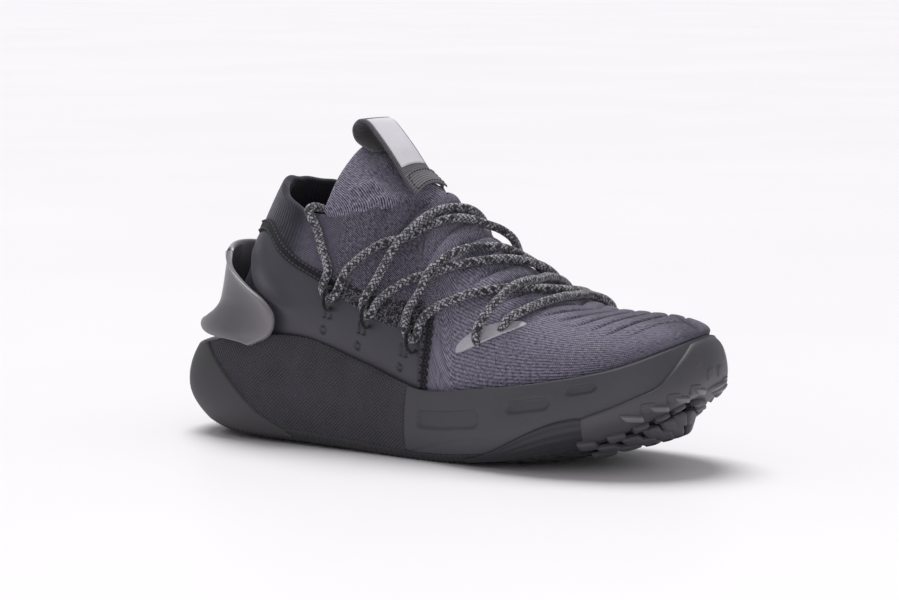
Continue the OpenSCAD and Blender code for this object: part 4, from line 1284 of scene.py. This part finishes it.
def make_side_rubber():
    t = np.concatenate([np.linspace(-0.1, 0.9, 18), [0.93, 0.96, 0.98, 0.992, 1.0]])
    uu, tt = grid(tapered(6.75, 9.6, 120), t)
    w = np.maximum(tt, -0.02) * wave_top(uu)
    lines = 0.5 * smooth(0.55, 0.85, teeth_every(0.25, tt)) * smooth(7.1, 7.9, uu) * (tt < 0.85)
    o = 0.1 + 1.5 * rounded((1 - tt) / 0.1) - lines
    for name, across, flip in SIDES:
        ob = sheet(f"ball_rubber_{name}", wall(across(uu), w, o), flip=not flip)
        finish_piece(ob, M_RUBBER, "rubber_dark", BEND, "outsole_forefoot")


make_side_rubber()

# upper edge of the toe guard: station, height on the sole wall
BUMPER_TOP = [[7.7,0.24],[8.2,0.36],[8.7,0.47],[9.2,0.54],[9.7,0.58],[10.1,0.80],[10.5,0.97],
    [11.6,0.98],[12.1,0.80],[12.6,0.58],[13.2,0.44],[14.3,0.24]]


def make_bumper():
    tab = np.array(BUMPER_TOP)
    us = tapered(8.55, 13.45, 230)
    top = np.interp(us, tab[:, 0], tab[:, 1])
    top = np.convolve(np.pad(top, 4, mode="edge"), np.ones(9) / 9, mode="valid")
    u, t = grid(us, np.concatenate([np.linspace(0, 0.92, 40), [0.95, 0.97, 0.985, 0.995, 1.0]]))
    w = mix(0.05, top[:, None], t)
    o = 0.2 + 2.0 * rounded((1 - t) / 0.08) * rounded(end_rows(u, 26) / 1.6)
    ob = sheet("toe_guard", wall(u, w, o))
    finish_piece(ob, M_TOE, "rubber_toe", "forefoot", "toe_bumper")


make_bumper()


def toe_skin(u, q):
    """Bumper surface, going on under the toe for negative q."""
    u, q = np.broadcast_arrays(u, q)
    step = under(u, np.maximum(-q, 0), 0.0) - wall(u, 0 * q, 0)
    return wall(u, np.maximum(q, 0), 2.0) + np.where((q < 0)[..., None], step, 0)


def make_lugs():
    """Lozenge lugs round the toe in staggered rows, slanted bars between them, dots above."""
    a = np.array([-1, -0.97, -0.9, -0.75, -0.4, 0, 0.4, 0.75, 0.9, 0.97, 1])
    sx, sy = grid(a, a)
    h = np.sqrt(1 - np.maximum(np.abs(sx), np.abs(sy)) ** 8)
    inside_toe = np.array([250.0, 5.0, 60.0])
    parts = {"toe_lugs": [], "toe_bars": []}

    def steps(u, q, e, f):
        """Ways along the skin over e either side in u and over f either side in q."""
        return toe_skin(u + e, q) - toe_skin(u - e, q), toe_skin(u, q + f) - toe_skin(u, q - f)

    def add(kind, u, q, du, dq, lean, high, round_off=0.35):
        """du and dq are half sizes in mm, lean drops the lug's forward end."""
        xx = sx * np.sqrt(1 - round_off * sy * sy)
        yy = sy * np.sqrt(1 - round_off * sx * sx)
        e = 0.04
        tu, tq = (np.linalg.norm(way) / (2 * e) for way in steps(u, q, e, e))
        uu = u + (xx * du + yy * lean * 0.5) / tu
        qq = q + (yy * dq + xx * lean) / tq
        p = toe_skin(uu, qq)
        n = unit(np.cross(*steps(uu, qq, e, 2 * e)))
        n = n * np.sign((n * (p - inside_toe)).sum(-1, keepdims=True))
        parts[kind].append(p + n * (high * h - 0.5)[..., None])

    for turn in (1, -1):
        t = -turn
        for k in range(5):
            u = TOE - turn * (0.54 + 0.46 * k)
            v = TOE - turn * (0.31 + 0.46 * k)
            if k < 3:
                add("toe_lugs", u, 0.34, 4.5, 3.6, 1.2 * t, 1.3)
            if k < 4:
                add("toe_bars", v, 0.27, 6.2, 2.3, 2.8 * t, 2.3, 0.15)
            add("toe_lugs", u, 0.04, 4.9, 3.4, 1.2 * t, 2.9, 0.2)
            add("toe_lugs", v, -0.2, 4.6, 4.0, 0.8 * t, 2.7, 0.2)
            add("toe_lugs", u, -0.43, 4.6, 4.0, 0.6 * t, 2.7, 0.2)
        add("toe_lugs", TOE - turn * 0.5, 0.72, 2.7, 2.9, 0, 0.8, 0.5)
        add("toe_lugs", TOE - turn * 0.18, 0.50, 3.4, 3.6, 0, 1.2, 0.5)
        add("toe_lugs", TOE - turn * 0.9, 0.58, 2.2, 2.4, 0, 0.6, 0.5)
    # the bars take the paler rubber, a painted highlight on their sloped tops
    for name, mat in (("toe_lugs", M_TOE), ("toe_bars", M_TOE_PAINTED_HIGHLIGHT)):
        grids = parts[name]
        faces = [f for k in range(len(grids)) for f in grid_faces(*h.shape, k * h.size)]
        verts = np.vstack([g.reshape(-1, 3) for g in grids])
        verts[:, 2] = np.maximum(verts[:, 2], 0.3)
        ob = put(name, verts, faces, verts[:, :2] / 10, sharp=50)
        finish_piece(ob, mat, "rubber_toe", "forefoot", "toe_bumper")


make_lugs()

# ---- inside ----


def make_insole():
    us = np.linspace(0.25, 10.75, 90)
    k = np.linspace(0, 1, 41)
    inset = -mix(6.8, 4.1, smooth(7.5, 8.0, us)) - 0.3
    a, b = bed(us, inset, 7.0), bed(mirror(us), inset, 7.0)
    p = mix(a[:, None], b[:, None], k[None, :, None])
    rise = np.abs(2 * k - 1)[None, :]
    heel = smooth(150, 60, p[..., 0])
    p[..., 2] += heel * 3.2 * rise ** 3 + 0.5 - 1.6 * np.clip(rise - 0.93, 0, 1) / 0.07
    arch = smooth(60, 100, p[..., 0]) * smooth(190, 140, p[..., 0]) * smooth(0.55, 1.0, k)[None, :]
    p[..., 2] += 4.0 * arch
    ob = sheet("sock_insole", p)
    finish_piece(ob, M_INSOLE, "insole_cloth", BEND, "insole", "strobel_board")


make_insole()


def make_lining():
    us = np.linspace(-8.2, 8.2, 190)
    u, t = grid(us, np.linspace(0, 1, 36))
    top = np.where(side(u) < 4.4, 0.52, 0.97)
    p = up(u, t * top, -mix(5.2, 2.6, smooth(4.2, 5.2, side(u))))
    floor = bed(us, -5.6, 1.0)[:, None]
    ob = sheet("inner_lining", np.concatenate([floor, p], axis=1), flip=True)
    finish_piece(ob, M_LINING, "lining", BEND, "rear_lining", "ankle_padding", "heel_counter")


make_lining()

toe_inside = bpy.data.objects.get("toe_lining") or frame["nodes"]["toe_lining"]
toe_inside.data.materials.clear()
toe_inside.data.materials.append(M_LINING)

# ---- studio ----


def make_stage():
    me = bpy.data.meshes.new("studio_floor")
    half = 30.0
    corners = [(x * half, y * half, 0) for x, y in ((-1, -1), (1, -1), (1, 1), (-1, 1))]
    me.from_pydata(corners, [], [(0, 1, 2, 3)])
    floor = add_object("studio_floor", me)
    s = Surface("studio floor", Roughness=0.45, Specular_IOR_Level=0.3)
    s.colour(s.remap(s.noise(2.0, 2), 0.3, 0.7), (0.83, 0.81, 0.835), (0.86, 0.84, 0.865))
    me.materials.append(s.mat)
    world = bpy.data.worlds.new("studio")
    world.use_nodes = True
    bg = world.node_tree.nodes["Background"]
    bg.inputs["Color"].default_value = (1.0, 0.985, 1.0, 1)
    bg.inputs["Strength"].default_value = 0.44
    bpy.context.scene.world = world


def add_light(name, kind, energy, towards, at=(0, 0, 0)):
    """Light whose back points the way of towards."""
    data = bpy.data.lights.new(name, kind)
    data.energy = energy
    ob = add_object(name, data)
    ob.location = at
    ob.rotation_euler = Vector(towards).to_track_quat("Z", "Y").to_euler()
    return data


make_stage()
sun = add_light("overhead", "SUN", energy=2.75, towards=(-0.34, 0.26, 1.0))
sun.angle = math.radians(36)
FRONT_AT, FRONT_AIM = Vector((1.2, -1.1, 0.5)), Vector((0.05, 0, 0.05))
panel = add_light("front", "AREA", energy=2.5, towards=FRONT_AT - FRONT_AIM, at=FRONT_AT)
panel.size = 0.9
bpy.context.scene.view_settings.view_transform = "Standard"
bpy.context.scene.view_settings.look = "None"
